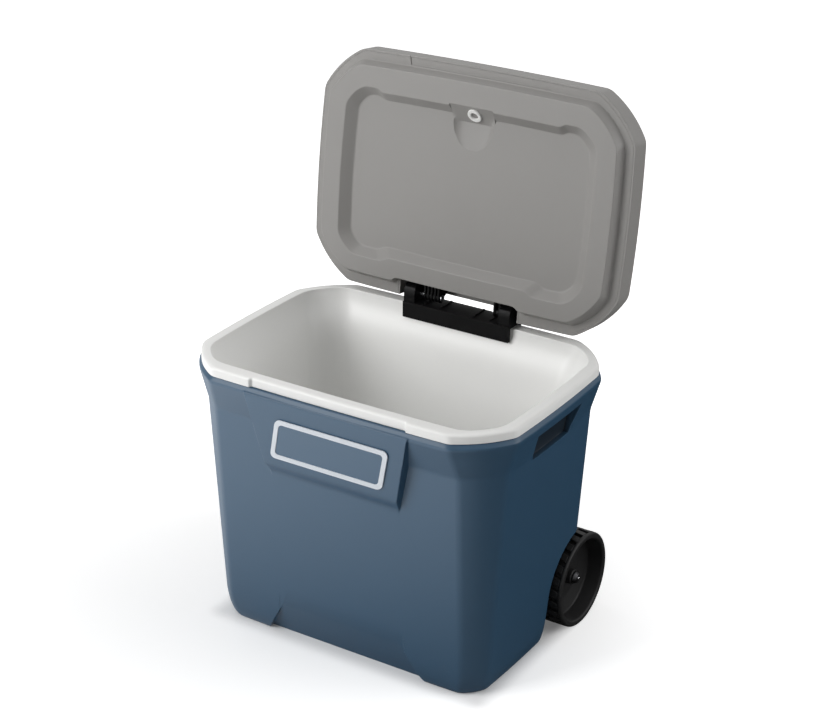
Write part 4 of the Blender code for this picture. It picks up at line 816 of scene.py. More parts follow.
def pocket_tool(side, grow):
    """Hand pocket under the collar."""
    low, high = 0.373 - grow, 0.417 + grow
    points = [(0.050 + grow, low), (0.068 + grow, high), (-0.064 - grow, high), (-0.057 - grow, low)]
    return slab(points, *span_x(side, 0.258 - grow, 0.2835 + CUT))


KICK_TOP = 0.060
KICK_HALF = 0.108
KICK_FLARE = 0.036


def kick_tool(grow):
    """Kick recess: a wedge that draws the foot of the front wall in, flared at its ends."""
    depth = bpy.context.scene.cooler_tub.kick_depth
    top, half = KICK_TOP + grow, KICK_HALF + grow
    wall = wall_level(KICK_TOP)[1]
    bm = bmesh.new()
    rows = []
    for z, x in ((top, half), (-CUT, half + KICK_FLARE * (top + CUT) / KICK_TOP)):
        back = -(wall - depth / KICK_TOP * (top - z)) + grow
        corners = ((-x, -wall - CUT, z), (x, -wall - CUT, z), (x, back, z), (-x, back, z))
        rows.append([bm.verts.new(corner) for corner in corners])
    for row in rows:
        bm.faces.new(row)
    edges = [bm.edges.get(pair) for row in rows for pair in zip(row, row[1:] + row[:1])]
    bmesh.ops.bridge_loops(bm, edges=edges)
    bmesh.ops.recalc_face_normals(bm, faces=bm.faces)
    return bm


def shared_tools(grow):
    """Cutters that the shell's outside and its hollow have in common."""
    tools = []
    for side in (1, -1):
        tools += [well_tool(side, grow), pocket_tool(side, grow)]
    axle = turned(rod(0.0063 + grow, 0.427), (-0.2135, WHEEL_Y, WHEEL_Z), (1, 0, 0), 24)
    return tools + [kick_tool(grow), axle]


def hollow_tool():
    """The space inside the shell, less the walls of its wells, pockets and kick recess."""
    levels = foot_levels(SHELL_WALL, 4) + [wall_level(WALL_TOP, SHELL_WALL), collar_level(0.4295, SHELL_WALL)]
    return carved(plain_loft(levels + [collar_level(0.4346, 0.007)]), shared_tools(SHELL_WALL))


def mouth_level(z, outset=0.0):
    return even_level(0.261, 0.175, 0.050, z, 0.012, outset)


def on_drain(x, profile, ease=0.0, steps=48):
    """A solid turned about the drain's axis, from x out to the left."""
    return turned(eased(profile, ease), (x, DRAIN_Y, DRAIN_Z), LEFT, steps)


def drain_tools(seat):
    """Boss round the drain's hole, and the drill that makes the hole."""
    return on_drain(seat, rod(0.018, 0.003)), on_drain(-0.19, rod(0.0108, 0.09), steps=32)


def make_shell():
    seat = plain_loft([mouth_level(z, LINER_WALL + GAP) for z in (0.4296, SHELL_TOP + CUT)])
    boss, drill = drain_tools(0.003 - DRAIN_FACE)
    tools = [*shared_tools(0.0), linked("hollow", hollow_tool()), seat, drill]
    bm = carved(shell_body(), tools, [boss], bevel=0.0009)
    piece("tub_outer", bm, "Outer blue", "tub", ["outer_shell"])


DRAIN_FACE = wall_level(DRAIN_Z + 0.018)[0]
DRAIN_SEAT = 0.216 + 0.027 / 0.351 * (DRAIN_Z - 0.018 - 0.049)


def inside_levels(outset):
    """Inside of the liner from its floor to its mouth, or a surface outset beyond it."""
    floor = 0.040 - outset
    levels = [
        (0.207 + outset, 0.120 + outset, 0.104 + outset, 0.036, 0.010, floor, 0, 0),
        (0.2155 + outset, 0.1285 + outset, 0.1125 + outset, 0.036, 0.010, floor + 0.002, 0, 0),
        (0.216 + outset, 0.129 + outset, 0.113 + outset, 0.036, 0.010, floor + 0.009, 0, 0),
        (0.2430 + outset, 0.1545 + outset, 0.1545 + outset, 0.046, 0.012, 0.400, 0, 0),
        (0.2575 + outset, 0.1715 + outset, 0.1715 + outset, 0.050, 0.012, 0.434, 0, 0),
    ]
    if outset:
        return levels + [mouth_level(RIM_TOP - LINER_WALL, outset)]
    return levels + [mouth_level(RIM_TOP - 0.0035)]


def liner_inside(outset):
    """The liner's inside, or a solid outset beyond it, less the humps over the wheel wells."""
    levels = inside_levels(outset)
    if not outset:
        levels = rounded(
            levels + [mouth_level(RIM_TOP, 0.0), mouth_level(RIM_TOP, 0.004)],
            [0, 0.006, 0.008, 0.030, 0.012, 0.004, 0.0038, 0], 4,
        )
        levels[-1] = mouth_level(RIM_TOP + 0.0002, 0.0045)
        levels.append(mouth_level(RIM_TOP + CUT, 0.0045))
    else:
        levels.append(mouth_level(RIM_TOP + CUT, LINER_WALL + outset))
    return carved(plain_loft(levels), [hump_tool(side, outset) for side in (1, -1)])


def hump_tool(side, outset):
    """Hump of the liner over a wheel well."""
    radius = WELL_RADIUS + SHELL_WALL + LINER_WALL + 0.0105 - outset
    top, front, rear = WHEEL_Z + radius, WHEEL_Y - radius, 0.2112
    points = [
        (front, -CUT), (front, WHEEL_Z + radius / 2), (front + radius / 2, top), (rear, top), (rear, -CUT),
    ]
    return slab(points, *span_x(side, 0.1865 + outset, 0.2978), 0.0 if outset else 0.012, 3)


def make_liner():
    """White liner with its lip turned out over the shell; the middle of the lip's front is set back."""
    def lip(inset, z):
        return (0.280 - inset, 0.1978 - inset, 0.1978 - inset, 0.0738, 0.006, z, 0.0047, 0.0)

    edge = bpy.context.scene.cooler_tub.rim_round
    levels = inside_levels(LINER_WALL) + [lip(0.0055, RIM_TOP - LINER_WALL), lip(0.0055, RIM_BASE)]
    turns = [lip(0.0055, RIM_BASE), lip(0, RIM_BASE), lip(0, RIM_TOP), lip(0.012, RIM_TOP)]
    levels += rounded(turns, [0, 0.0008, edge, 0], 6)[1:]
    body = loft([outline(level, front_span=(0.1320, 0.0065)) for level in levels])
    humps = [hump_tool(side, LINER_WALL) for side in (1, -1)]
    body = carved(body, [*humps, linked("inside", liner_inside(0.0))])
    boss, drill = drain_tools(-DRAIN_SEAT)
    piece("tub_liner", carved(body, [drill], [boss]), "Liner white", "tub", ["inner_liner"])


BADGE_HALF_X = 0.099
BADGE_HALF_Z = 0.03525
BADGE_CENTRE = (0.0042, -0.1953, 0.3685)
BADGE_TILT = math.atan2(0.013, 0.1105)  # back towards its lower edge
BADGE_LEAN = 0.24  # shift along X for each unit of height


def badge_plate(inset, low, high, corner):
    """Plate with rounded corners about the badge's centre."""
    x, z = BADGE_HALF_X - inset, BADGE_HALF_Z - inset
    bm = bmesh.new()
    bm.faces.new([bm.verts.new(p) for p in ((-x, low, -z), (x, low, -z), (x, low, z), (-x, low, z))])
    bevelled(bm, bm.verts[:], corner, 5, "VERTICES")
    extruded(bm, bm.faces[:][0], (0, high - low, 0))
    return bm


def make_badge():
    """Blank badge on the pad: a bare blue field inside a pale raised edge with rounded corners."""
    opening = badge_plate(bpy.context.scene.cooler_tub.badge_edge, -0.02, 0.02, 0.0058)
    border = carved(badge_plate(0.0, -0.0025, -GAP, 0.0098), [opening], bevel=0.0006)
    lean = Matrix.Identity(4)
    lean[0][2] = BADGE_LEAN
    place = Matrix.Translation(BADGE_CENTRE) @ Matrix.Rotation(BADGE_TILT, 4, "X") @ lean
    for name, bm, nodes in (
        ("field", badge_plate(0.0030, -0.0015, -GAP, 0.0080), ["badge_plate"]), ("edge", border, []),
    ):
        bmesh.ops.transform(bm, matrix=place, verts=bm.verts)
        piece(f"badge_{name}", bm, f"Badge {name}", "tub", nodes)


# Lid, made closed and then swung open


def lid_level(inset, z, corner_less=0.0):
    return even_level(0.278, LID_HALF_DEPTH, 0.0713 - corner_less, z, 0.007, -inset)


def lid_skin(inset):
    """Outside of the lid from its lower edge over the round to its crown, or a surface inset within it."""
    low = LID_FACE - (CUT if inset else 0)
    top = LID_FACE + 0.0445 - inset
    edge = bpy.context.scene.cooler_lid.edge_round
    levels = [lid_level(inset, low), lid_level(inset, top), lid_level(inset + 0.060, top + 0.002, 0.0356)]
    levels = rounded(levels, [0, edge, 0], 8)
    levels.append(lid_level(inset + 0.100, top + 0.0025, 0.050))
    return plain_loft(levels)


def notch_tool(grow, roof=False):
    """The hinge notch in the lid's rear edge, or the opening behind its roof."""
    half, rear = NOTCH_HALF + grow, LID_HALF_DEPTH + CUT
    if roof:
        return block((-half, LID_HALF_DEPTH - 0.008, LID_FACE + 0.01775), (half, rear, LID_FACE + 0.0745))
    return block((-half, NOTCH_Y - grow, LID_FACE - CUT - grow), (half, rear, NOTCH_TOP + grow))


def finger_tool():
    """Shallow step in the lid's front flange, where fingers lift it."""
    front, back = -LID_HALF_DEPTH - CUT, 0.0145 - LID_HALF_DEPTH
    corners = ((-0.128, front), (0.130, front), (0.130, back), (-0.118, back))
    bm = bmesh.new()
    rows = [[bm.verts.new((x, y, z)) for x, y in corners] for z in (LID_FACE - CUT, LID_FACE + 0.0013)]
    for k in range(4):
        bm.faces.new([rows[0][k], rows[0][(k + 1) % 4], rows[1][(k + 1) % 4], rows[1][k]])
    for row in rows:
        bm.faces.new(row)
    bmesh.ops.recalc_face_normals(bm, faces=bm.faces)
    return bm


def make_lid_shell():
    hollow = linked("hollow", carved(lid_skin(SHELL_WALL), [notch_tool(SHELL_WALL)]))
    tools = [notch_tool(0.0), notch_tool(0.0, True), hollow, finger_tool()]
    bm = swung(carved(lid_skin(0.0), tools, bevel=0.0007))
    piece("lid_cover", bm, "Lid grey", "lid", ["lid_outer"])


FLANGE_INSET = 0.0031


def pan_levels():
    """The lid's inner pan: underside from the panel out to the flange, then its upper side back in."""
    low = LID_FACE - RING_HEIGHT
    panel = low + PANEL_DEPTH
    jog = bpy.context.scene.cooler_lid.panel_jog
    ring_step, base_step = 0.1672 - NOTCH_Y, 0.1750 - NOTCH_Y
    wall = SHELL_WALL
    under = [
        (0.190, 0.106, 0.112, 0.026, 0.007, panel, 0.0, 0.0),
        (0.2075, 0.1228, 0.1270, 0.026, 0.007, panel, jog, 0.0085),
        (0.2245, 0.1364, 0.1405, 0.034, 0.007, low, jog, 0.0085),
        (0.2562, 0.1695, 0.1672, 0.0555, 0.006, low, 0.0, ring_step),
        (0.2615, 0.1750, 0.1750, 0.0555, 0.006, LID_FACE, 0.0, base_step),
        lid_level(FLANGE_INSET, LID_FACE),
    ]
    upper = [
        lid_level(FLANGE_INSET, LID_FACE + wall),
        (0.2615 - wall, 0.1750 - wall, 0.1750 - wall, 0.0555, 0.006, LID_FACE + wall, 0.0, base_step),
        (0.2562 - wall, 0.1695 - wall, 0.1672 - wall, 0.0555, 0.006, low + wall, 0.0, ring_step),
        (0.2245 + wall, 0.1364 + wall, 0.1405 + wall, 0.034, 0.007, low + wall, jog, 0.0085),
        (0.2075, 0.1228, 0.1270, 0.026, 0.007, panel + wall, jog, 0.0085),
    ]
    return rounded(under, [0, 0.0024, 0.0015, 0.0013, 0.0013, 0]) + upper


SCOOP_X = 0.004
SCOOP_SLOPE = 0.70  # of the seat that faces the front
SCOOP_HEAD = -0.1335
SCOOP_TURN = -0.1055
SCOOP_TAIL = -0.0600
SCOOP_BACK = 0.0030
SCOOP_ACROSS = 24


def scoop_rows():
    """Cross sections of the groove: sloped down to its turn, then rising to the panel at its narrow tail."""
    low = LID_FACE - RING_HEIGHT
    deepest = (SCOOP_TURN - SCOOP_HEAD) * SCOOP_SLOPE
    half = bpy.context.scene.cooler_lid.scoop_half
    stations = [(SCOOP_HEAD - 0.004, -0.0028, half + 0.0012)]
    for k in range(7):
        t = k / 6
        stations.append((SCOOP_HEAD + (SCOOP_TURN - SCOOP_HEAD) * t, deepest * t, half + 0.0010 - 0.001 * t))
    for k in range(1, 11):
        t = k / 10
        depth = deepest + (PANEL_DEPTH - 0.0006 - deepest) * t
        y = SCOOP_TURN + (SCOOP_TAIL - SCOOP_TURN) * t
        stations.append((y, depth, half * math.sqrt(1 - t * t * 0.97)))
    rows = []
    for y, depth, width in stations:
        edge = min(depth, PANEL_DEPTH - 0.0015)
        row = []
        for k in range(SCOOP_ACROSS + 1):
            u = math.cos(math.pi * k / SCOOP_ACROSS)
            row.append(Vector((SCOOP_X + width * u, y, low + depth - (depth - edge) * abs(u) ** 5)))
        row += [Vector((SCOOP_X - width, y, low - 0.012)), Vector((SCOOP_X + width, y, low - 0.012))]
        rows.append(row)
    return rows


def scoop_boss():
    """What the groove is cut into: material below the panel at the seat, and above it along the groove."""
    low = LID_FACE - RING_HEIGHT
    half = bpy.context.scene.cooler_lid.scoop_half
    seat = [
        (SCOOP_HEAD, low + 0.0001), (SCOOP_HEAD + 0.021, low + 0.0001), (SCOOP_HEAD + 0.021, low + 0.0150),
        (SCOOP_HEAD, low + 0.0055),
    ]
    back = [
        (SCOOP_HEAD + 0.011, low + PANEL_DEPTH + 0.0008), (SCOOP_TAIL + 0.004, low + PANEL_DEPTH + 0.0008),
        (SCOOP_TAIL + 0.004, low + 0.0155), (SCOOP_TURN + 0.004, low + 0.0228),
        (SCOOP_TURN - 0.004, low + 0.0228), (SCOOP_HEAD + 0.006, low + 0.0120),
    ]
    narrow, wide = half - 0.0002, half + 0.0035 + SCOOP_BACK
    return [slab(seat, SCOOP_X - narrow, SCOOP_X + narrow), slab(back, SCOOP_X - wide, SCOOP_X + wide)]


def make_lid_pan():
    flange_gap = 0.0033
    outlines = []
    for level in pan_levels():
        rise = (level[5] - LID_FACE + RING_HEIGHT) / PANEL_DEPTH
        rear = (0.103, 0.018) if level[0] > 0.24 else (0.115 + 0.015 * rise, 0.030 - 0.002 * rise)
        outlines.append(outline(level, front_span=(0.152, 0.019), rear_span=rear))
    notch = block(
        (-NOTCH_HALF - flange_gap, NOTCH_Y - flange_gap, LID_FACE - 0.0002),
        (NOTCH_HALF + flange_gap, LID_HALF_DEPTH + CUT, LID_FACE + CUT),
    )
    bm = swung(carved(loft(outlines), [notch, loft(scoop_rows()), finger_tool()], scoop_boss()))
    piece("lid_pan", bm, "Lid grey", "lid", ["lid_inner"], sharp=30)


def make_plug():
    """White ring plug on the scoop's seat."""
    low = LID_FACE - RING_HEIGHT
    run = 0.0135
    centre = Vector((SCOOP_X + 0.003, SCOOP_HEAD + run, low + run * SCOOP_SLOPE))
    tilt = math.atan(SCOOP_SLOPE)
    out = Vector((0, math.sin(tilt), -math.cos(tilt)))
    profile = eased(
        [(0.0062, 0), (0.0118, 0), (0.0118, 0.0038), (0.0068, 0.0038), (0.0062, 0.0030), (0.0062, 0)],
        0.0012, 4,
    )
    bm = swung(turned(profile, centre - out * 0.0008, out))
    piece("lid_plug_ring", bm, "Liner white", "lid", ["lid_plug"])


# Hinge


EAR = 0.0195  # half an ear's length, and its height over the axis
RIB = 0.0034


def ear_points(base):
    """Outline of a hinge ear: an arch with squarish shoulders."""
    points = [(AXIS.y + EAR, base)]
    for k in range(17):
        angle = math.pi * k / 16
        across, up = math.cos(angle), math.sin(angle)
        square = min(1.0 / max(abs(across), abs(up)) ** 0.45, 1.0 / max(abs(across), 0.01))
        points.append((AXIS.y + EAR * across * square, AXIS.z + EAR * up))
    return points + [(AXIS.y - EAR, base)]


def make_bracket():
    """Black bracket: plate inside the liner, shelf over the rim, hook behind it, and an ear at each end."""
    rim, shelf = RIM_TOP + GAP, RIM_TOP + GAP + 0.0055
    points = [
        (0.163, 0.4336), (0.1704, 0.4336), (0.1704, rim), (0.2015, rim), (0.2015, 0.4416), (0.2060, 0.4416),
        (0.2060, shelf), (0.163, shelf),
    ]
    parts = [slab(points, -0.097, 0.097, 0.0007)]
    for side in (1, -1):
        parts.append(slab(ear_points(shelf - 0.002), *span_x(side, 0.0765, 0.097), 0.0010))
        for x in (0.060 * side, 0.030 * side):
            low, high = (x - 0.0016, 0.1712, shelf - 0.001), (x + 0.0016, 0.2045, shelf + 0.0016)
            parts.append(block(low, high, 0.0005))
    piece("hinge_saddle", joined(*parts), "Hinge black", "tub", ["hinge_bracket"])


def make_leaves():
    """Hinge leaves: ribs side by side that hang from a plate under the notch's roof down to the pin."""
    roof, front = NOTCH_TOP - GAP, NOTCH_Y + GAP
    rib = [(front + 0.001, roof - 0.001), (front + 0.001, 0.4620)]
    for n in range(13):
        angle = -math.pi / 2 + math.pi * n / 12
        rib.append((AXIS.y + 0.0085 * math.cos(angle), AXIS.z + 0.0085 * math.sin(angle)))
    rib.append((front + 0.0175, roof - 0.001))
    leaves = ((0.0610, 0.0735, 2, 0.0586), (-0.0665, -0.0380, 5, 0.0356))
    for (side, word), (low_x, high_x, ribs, start) in zip(SIDES, leaves):
        parts = [
            block((low_x, front, roof - 0.004), (high_x, front + 0.0175, roof), 0.0006),
            block((low_x, front, 0.4612), (high_x, front + 0.004, roof), 0.0006),
        ]
        for k in range(ribs):
            x = low_x + (high_x - low_x - RIB) * k / (ribs - 1)
            parts.append(slab(rib, x, x + RIB, 0.0005))
        knuckle = eased(rod(0.0068, high_x - low_x), 0.0008)
        parts.append(turned(knuckle, (low_x, AXIS.y, AXIS.z), (1, 0, 0), 32))
        bm = swung(joined(*parts))
        piece(f"hinge_leaf_{word}_ribbed", bm, "Hinge black", "lid", [f"hinge_leaf_{word}"])
        length = 0.097 - start
        pin = eased(
            [(0, 0), (0.0055, 0), (0.0055, 0.002), (0.003, 0.002), (0.003, length), (0, length)], 0.0006,
        )
        bm = turned(pin, (side * start, AXIS.y, AXIS.z), (side, 0, 0), 32)
        piece(f"hinge_pin_{word}_turned", bm, "Bright steel", "tub", [f"hinge_pin_{word}"])


# Wheels and axle


TREAD_ROWS = ((0.0070, 0.0250, -0.22), (0.0240, 0.0445, 0.22))  # where a row starts and ends, and its skew


def on_axle(side, x, profile, ease, steps):
    """A solid turned about the axle, from x outwards."""
    return turned(eased(profile, ease), (side * x, WHEEL_Y, WHEEL_Z), (side, 0, 0), steps)


def make_wheels():
    sizes = bpy.context.scene.cooler_wheels
    radius, core = sizes.radius, sizes.radius - sizes.lug_depth
    pitch = math.tau / sizes.lugs
    half = radius * pitch * 0.29
    rim = eased([
        (0.0064, 0.0005), (0.017, 0.0), (0.017, 0.016), (0.058, 0.016), (0.0660, 0.0), (core, 0.0055),
        (core, 0.0440), (radius, 0.0446), (radius, 0.0478), (0.0752, 0.0500), (0.0690, 0.0500),
        (0.0670, 0.0480), (0.0640, 0.0240), (0.040, 0.0175), (0.0135, 0.0170), (0.0125, 0.0330),
        (0.0064, 0.0336), (0.0064, 0.0005),
    ], 0.0022, 4)
    for side, word in SIDES:
        start, out = (side * 0.2135, WHEEL_Y, WHEEL_Z), (side, 0, 0)
        parts = [turned(rim, start, out, 96)]
        place = Matrix.Translation(start) @ Vector(out).to_track_quat("Z", "Y").to_matrix().to_4x4()
        for row, (near, far, skew) in enumerate(TREAD_ROWS):
            for k in range(sizes.lugs):
                lug = block((core - 0.004, -half, near), (radius, half, far), 0.0009, 1)
                for vert in lug.verts:
                    vert.co.y += (vert.co.z - (near + far) / 2) * skew
                turn = Matrix.Rotation((k + 0.5 * row) * pitch, 4, "Z")
                bmesh.ops.transform(lug, matrix=place @ turn, verts=lug.verts)
                parts.append(lug)
        bm = joined(*parts)
        piece(f"wheel_{word}_lugged", bm, "Wheel black", f"{word}_wheel", [f"wheel_{word}"], sharp=40)
    axle = turned(eased(rod(0.006, 0.506), 0.001), (-0.253, WHEEL_Y, WHEEL_Z), (1, 0, 0), 32)
    piece("axle_rod", axle, "Tube steel", "tub", ["axle"])
    cap = [
        (0.0063, 0), (0.0100, 0), (0.0100, 0.0016), (0.0066, 0.0064), (0, 0.0070), (0, 0.0060),
        (0.0063, 0.0055), (0.0063, 0),
    ]
    tip = [(0, 0.0060), (0.0030, 0.0060), (0.0030, 0.0082), (0, 0.0082)]
    for side, word in SIDES:
        bm = on_axle(side, 0.2114, ring(0.0063, 0.013, 0.0018), 0.0004, 40)
        piece(f"washer_{word}", bm, "Tube steel", "tub", [f"axle_washer_{word}"])
        bm = on_axle(side, 0.2479, cap, 0.0008, 40)
        piece(f"axle_cap_{word}", bm, "Dark steel", "tub", [f"push_nut_{word}"])
        piece(f"axle_tip_{word}", on_axle(side, 0.2479, tip, 0.0008, 24), "Bright steel", "tub", [])


# Tow handle and drain


def along_handle(side, distance):
    return Vector((side * HANDLE_FOOT.x, HANDLE_FOOT.y, HANDLE_FOOT.z)) + LEAN_AXIS * distance


def make_handle():
    inner_length = 0.3559
    tubes = (
        ("guide", "tub", 0.0, cup(0.0112, 0.0125, 0.330)),
        ("middle", "handle_middle", 0.0016, cup(0.0094, 0.0107, 0.3407)),
        ("inner", "handle_top", 0.0032, rod(0.0089, inner_length)),
    )
    collar = eased([
        (0.0128, 0), (0.0150, 0), (0.0165, 0.004), (0.0165, 0.0195), (0.0140, 0.023), (0.0111, 0.023),
        (0.0111, 0.020), (0.0128, 0.020), (0.0128, 0),
    ], 0.0012)
    for side, word in SIDES:
        for name, body, lift, profile in tubes:
            bm = turned(eased(profile, 0.0006, 2), along_handle(side, lift), LEAN_AXIS, 40)
            piece(f"{name}_tube_{word}_drawn", bm, "Tube steel", body, [f"{name}_tube_{word}"])
        bm = turned(collar, along_handle(side, 0.3103), LEAN_AXIS, 40)
        piece(f"guide_collar_{word}_turned", bm, "Hinge black", "tub", [f"guide_collar_{word}"])
    centre = along_handle(1, 0.0032 + inner_length)
    half = 0.1145
    end = [(0, 0), (0.0095, 0), (0.0130, 0.004), (0.0130, 0.026), (0.0122, 0.032)]
    grip = end + [(0.0118, half)] + [(radius, 2 * half - x) for radius, x in reversed(end)]
    parts = [turned(eased(grip, 0.004, 4), (-half, centre.y, centre.z), (1, 0, 0), 40)]
    for k in range(-4, 5):
        rib = eased(ring(0.010, 0.0127, 0.006), 0.0006, 2)
        parts.append(turned(rib, (k * 0.013 - 0.003, centre.y, centre.z), (1, 0, 0), 40))
    piece("tow_grip_bar", joined(*parts), "Hinge black", "handle_top", ["tow_grip"])


def soften(node, name, width):
    """A CAD node keeps its mesh, and live modifiers weld it and round its edges."""
    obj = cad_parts[node]
    obj.data.materials.clear()
    obj.data.materials.append(material(name))
    weld = obj.modifiers.new("weld", "WELD")
    weld.merge_threshold = 0.00002
    bevel = obj.modifiers.new("round", "BEVEL")
    bevel.width = width
    bevel.segments = 2
    bevel.limit_method = "ANGLE"
    bevel.angle_limit = math.radians(40)
    bevel.use_clamp_overlap = True


def make_drain():
    """Spout, gasket, nut and pull plug low on the left end."""
    face, seat, tip = DRAIN_FACE + GAP, DRAIN_SEAT - GAP, DRAIN_FACE + 0.013
    reach = tip - seat + 0.0025
    spout = [
        (0.0075, 0), (0.015, 0), (0.015, 0.0025), (0.0105, 0.0025), (0.0105, reach), (0.0075, reach),
        (0.0075, 0),
    ]
    piece("drain_spout_turned", on_drain(0.0025 - seat, spout, 0.0008), "Liner white", "tub", ["drain_spout"])
    gasket = on_drain(-face, ring(0.0108, 0.0165, 0.0018), 0.0006)
    piece("drain_gasket_turned", gasket, "Rubber", "tub", ["drain_gasket"])
    start = face + 0.0018 + GAP
    hexagon = [(0.0168 * math.cos(math.tau * k / 6), 0.0168 * math.sin(math.tau * k / 6)) for k in range(6)]
    nut = slab(hexagon, 0, 0.0075, 0.0009)
    bmesh.ops.transform(nut, matrix=Matrix.Translation((-start - 0.0075, DRAIN_Y, DRAIN_Z)), verts=nut.verts)
    bore = on_drain(0.01 - start, rod(0.0108, 0.03), steps=32)
    piece("drain_nut_hex", carved(nut, [bore]), "Liner white", "tub", ["drain_nut"])
    plug = [
        (0, 0), (0.0071, 0), (0.0071, 0.0183), (0.013, 0.0183), (0.013, 0.0215), (0.0105, 0.0238),
        (0, 0.0238),
    ]
    piece("drain_plug_cap", on_drain(0.018 - tip, plug, 0.001), "Hinge black", "plug", ["drain_plug"])


# Stage


FOOT_EDGE = (0.232, 0.146, 0.0)
CONTACT_SHADOW = 0.035  # how far the painted contact shadow under the foot's edges reaches
LIFT_CENTRE = (-0.25, -0.25, 0.0)
LIFT_FAR = 1.50
LIFT_MOST = 0.95
# The way along which the floor's painted reflection grows
SHEEN_WAY = (-0.537, -0.843, 0.0)


def vector_calc(tree, operation, *values):
    made = node(tree, "ShaderNodeVectorMath", *values, operation=operation)
    return made.outputs["Value" if operation in ("DOT_PRODUCT", "DISTANCE", "LENGTH") else "Vector"]


def along(tree, start, end, high, smooth=False):
    """Value that grows from 0 to high over the floor, from start to end along the sheen's way."""
    way = vector_calc(tree, "DOT_PRODUCT", own_place(tree), SHEEN_WAY)
    return graded(tree, way, start, end, 0.0, high, smooth)


def floor_material():
    """Pale floor that keeps the object's shadow and reads as white round it for the camera."""
    studio = bpy.context.scene.cooler_studio
    mat = bpy.data.materials.new("Studio floor")
    mat.use_nodes = True
    tree = mat.node_tree
    tree.nodes.clear()
    ray = tree.nodes.new("ShaderNodeLightPath").outputs
    diffuse = node(tree, "ShaderNodeBsdfDiffuse", (*studio.floor, 1.0))
    # Painted reflection: the floor glows for glossy rays only, strongest along the sheen's way, a sheen on
    # the tub's front
    sheen = calc(
        tree, "ADD", along(tree, 0.1, 0.9, studio.sheen, True), along(tree, -0.3, 1.6, studio.sheen * 0.25),
    )
    gloss = calc(tree, "MULTIPLY", sheen, ray["Is Glossy Ray"])
    # Painted shade: on the far side the floor's diffuse is hidden from glossy rays, which keeps reflections
    # off the chamfer and side
    hidden = calc(tree, "MULTIPLY", along(tree, 0.30, -0.10, 1.0), ray["Is Glossy Ray"])
    kept = node(tree, "ShaderNodeMixShader", hidden, diffuse.outputs[0])
    # Painted shade: the camera sees the floor lifted least near LIFT_CENTRE and more further off, so it reads
    # darker round the tub
    away = vector_calc(tree, "DISTANCE", own_place(tree), LIFT_CENTRE)
    more = graded(tree, away, 0.0, LIFT_FAR, studio.lift, LIFT_MOST, True)
    # Painted contact shadow: within a few centimetres of the foot's edges the lift falls to a quarter
    beyond = vector_calc(tree, "SUBTRACT", vector_calc(tree, "ABSOLUTE", own_place(tree)), FOOT_EDGE)
    gap = vector_calc(tree, "LENGTH", vector_calc(tree, "MAXIMUM", beyond, (0.0, 0.0, 0.0)))
    lift = calc(tree, "MULTIPLY", more, graded(tree, gap, 0.0, CONTACT_SHADOW, 0.25, 1.0, True))
    seen = calc(tree, "MULTIPLY_ADD", ray["Is Camera Ray"], lift, gloss)
    glow = node(tree, "ShaderNodeEmission", None, seen)
    total = node(tree, "ShaderNodeAddShader", kept.outputs[0], glow.outputs[0])
    node(tree, "ShaderNodeOutputMaterial", total.outputs[0])
    return mat


def make_floor():
    bm = bmesh.new()
    bmesh.ops.create_grid(bm, x_segments=8, y_segments=8, size=14.0)
    obj = linked("studio_floor", bm)
    obj.data.materials.append(floor_material())


def make_lamp(name, place, target, size, power):
    data = bpy.data.lights.new(name, "AREA")
    data.shape = "RECTANGLE"
    data.size, data.size_y = size
    data.energy = power
    lamp = bpy.data.objects.new(name, data)
    lamp.location = place
    lamp.rotation_euler = (Vector(target) - Vector(place)).to_track_quat("-Z", "Y").to_euler()
    bpy.context.scene.collection.objects.link(lamp)


def make_world():
    """Bright for the camera, a soft sky for gloss, and no light of its own."""
    world = bpy.data.worlds.new("Studio")
    bpy.context.scene.world = world
    world.use_nodes = True
    tree = world.node_tree
    tree.nodes.clear()
    strengths = (0.0, bpy.context.scene.cooler_studio.sky, 1.0)
    none, sky, bright = [node(tree, "ShaderNodeBackground", None, s).outputs[0] for s in strengths]
    ray = tree.nodes.new("ShaderNodeLightPath").outputs
    gloss = node(tree, "ShaderNodeMixShader", ray["Is Glossy Ray"], none, sky)
    pick = node(tree, "ShaderNodeMixShader", ray["Is Camera Ray"], gloss.outputs[0], bright)
    node(tree, "ShaderNodeOutputWorld", pick.outputs[0])


CAMERA_PLACE = (1.49146, -2.34315, 1.71123)
CAMERA_RIGHT = Vector((0.84494, 0.53482, 0.00685))
CAMERA_UP = Vector((-0.22675, 0.34657, 0.91021))


def make_camera():
    data = bpy.data.cameras.new("Camera")
    data.lens = 88.75
    data.sensor_width = 36.0
    data.clip_end = 60.0
    camera = bpy.data.objects.new("Camera", data)
    axes = Matrix((CAMERA_RIGHT, CAMERA_UP, CAMERA_RIGHT.cross(CAMERA_UP))).transposed().to_4x4()
    camera.matrix_world = Matrix.Translation(CAMERA_PLACE) @ axes
    bpy.context.scene.collection.objects.link(camera)
    bpy.context.scene.camera = camera


# Operators


class COOLER_OT_stage(Operator):
    """Make the floor, the lamps, the sky and the camera"""
    bl_idname = "cooler.stage"
    bl_label = "Stage"

    def execute(self, context):
        studio = context.scene.cooler_studio
        make_camera()
        make_floor()
        make_world()
        for name, place, size in (
            ("Key", (-1.9, -2.6, 2.2), (2.0, 2.0)), ("Side", (2.9, 0.9, 1.5), (2.0, 2.0)),
            ("Top", (0.0, -0.3, 2.8), (2.4, 2.4)), ("Low", (-1.6, -2.9, 1.0), (1.6, 1.2)),
            ("High", (-1.8, 0.4, 2.8), (2.0, 2.0)), ("Rear", (-0.5, 2.6, 2.4), (2.4, 2.0)),
        ):
            make_lamp(name, place, (0, 0, 0.35), size, getattr(studio, name.lower()))
        context.scene.view_settings.view_transform = "Standard"
        return {"FINISHED"}


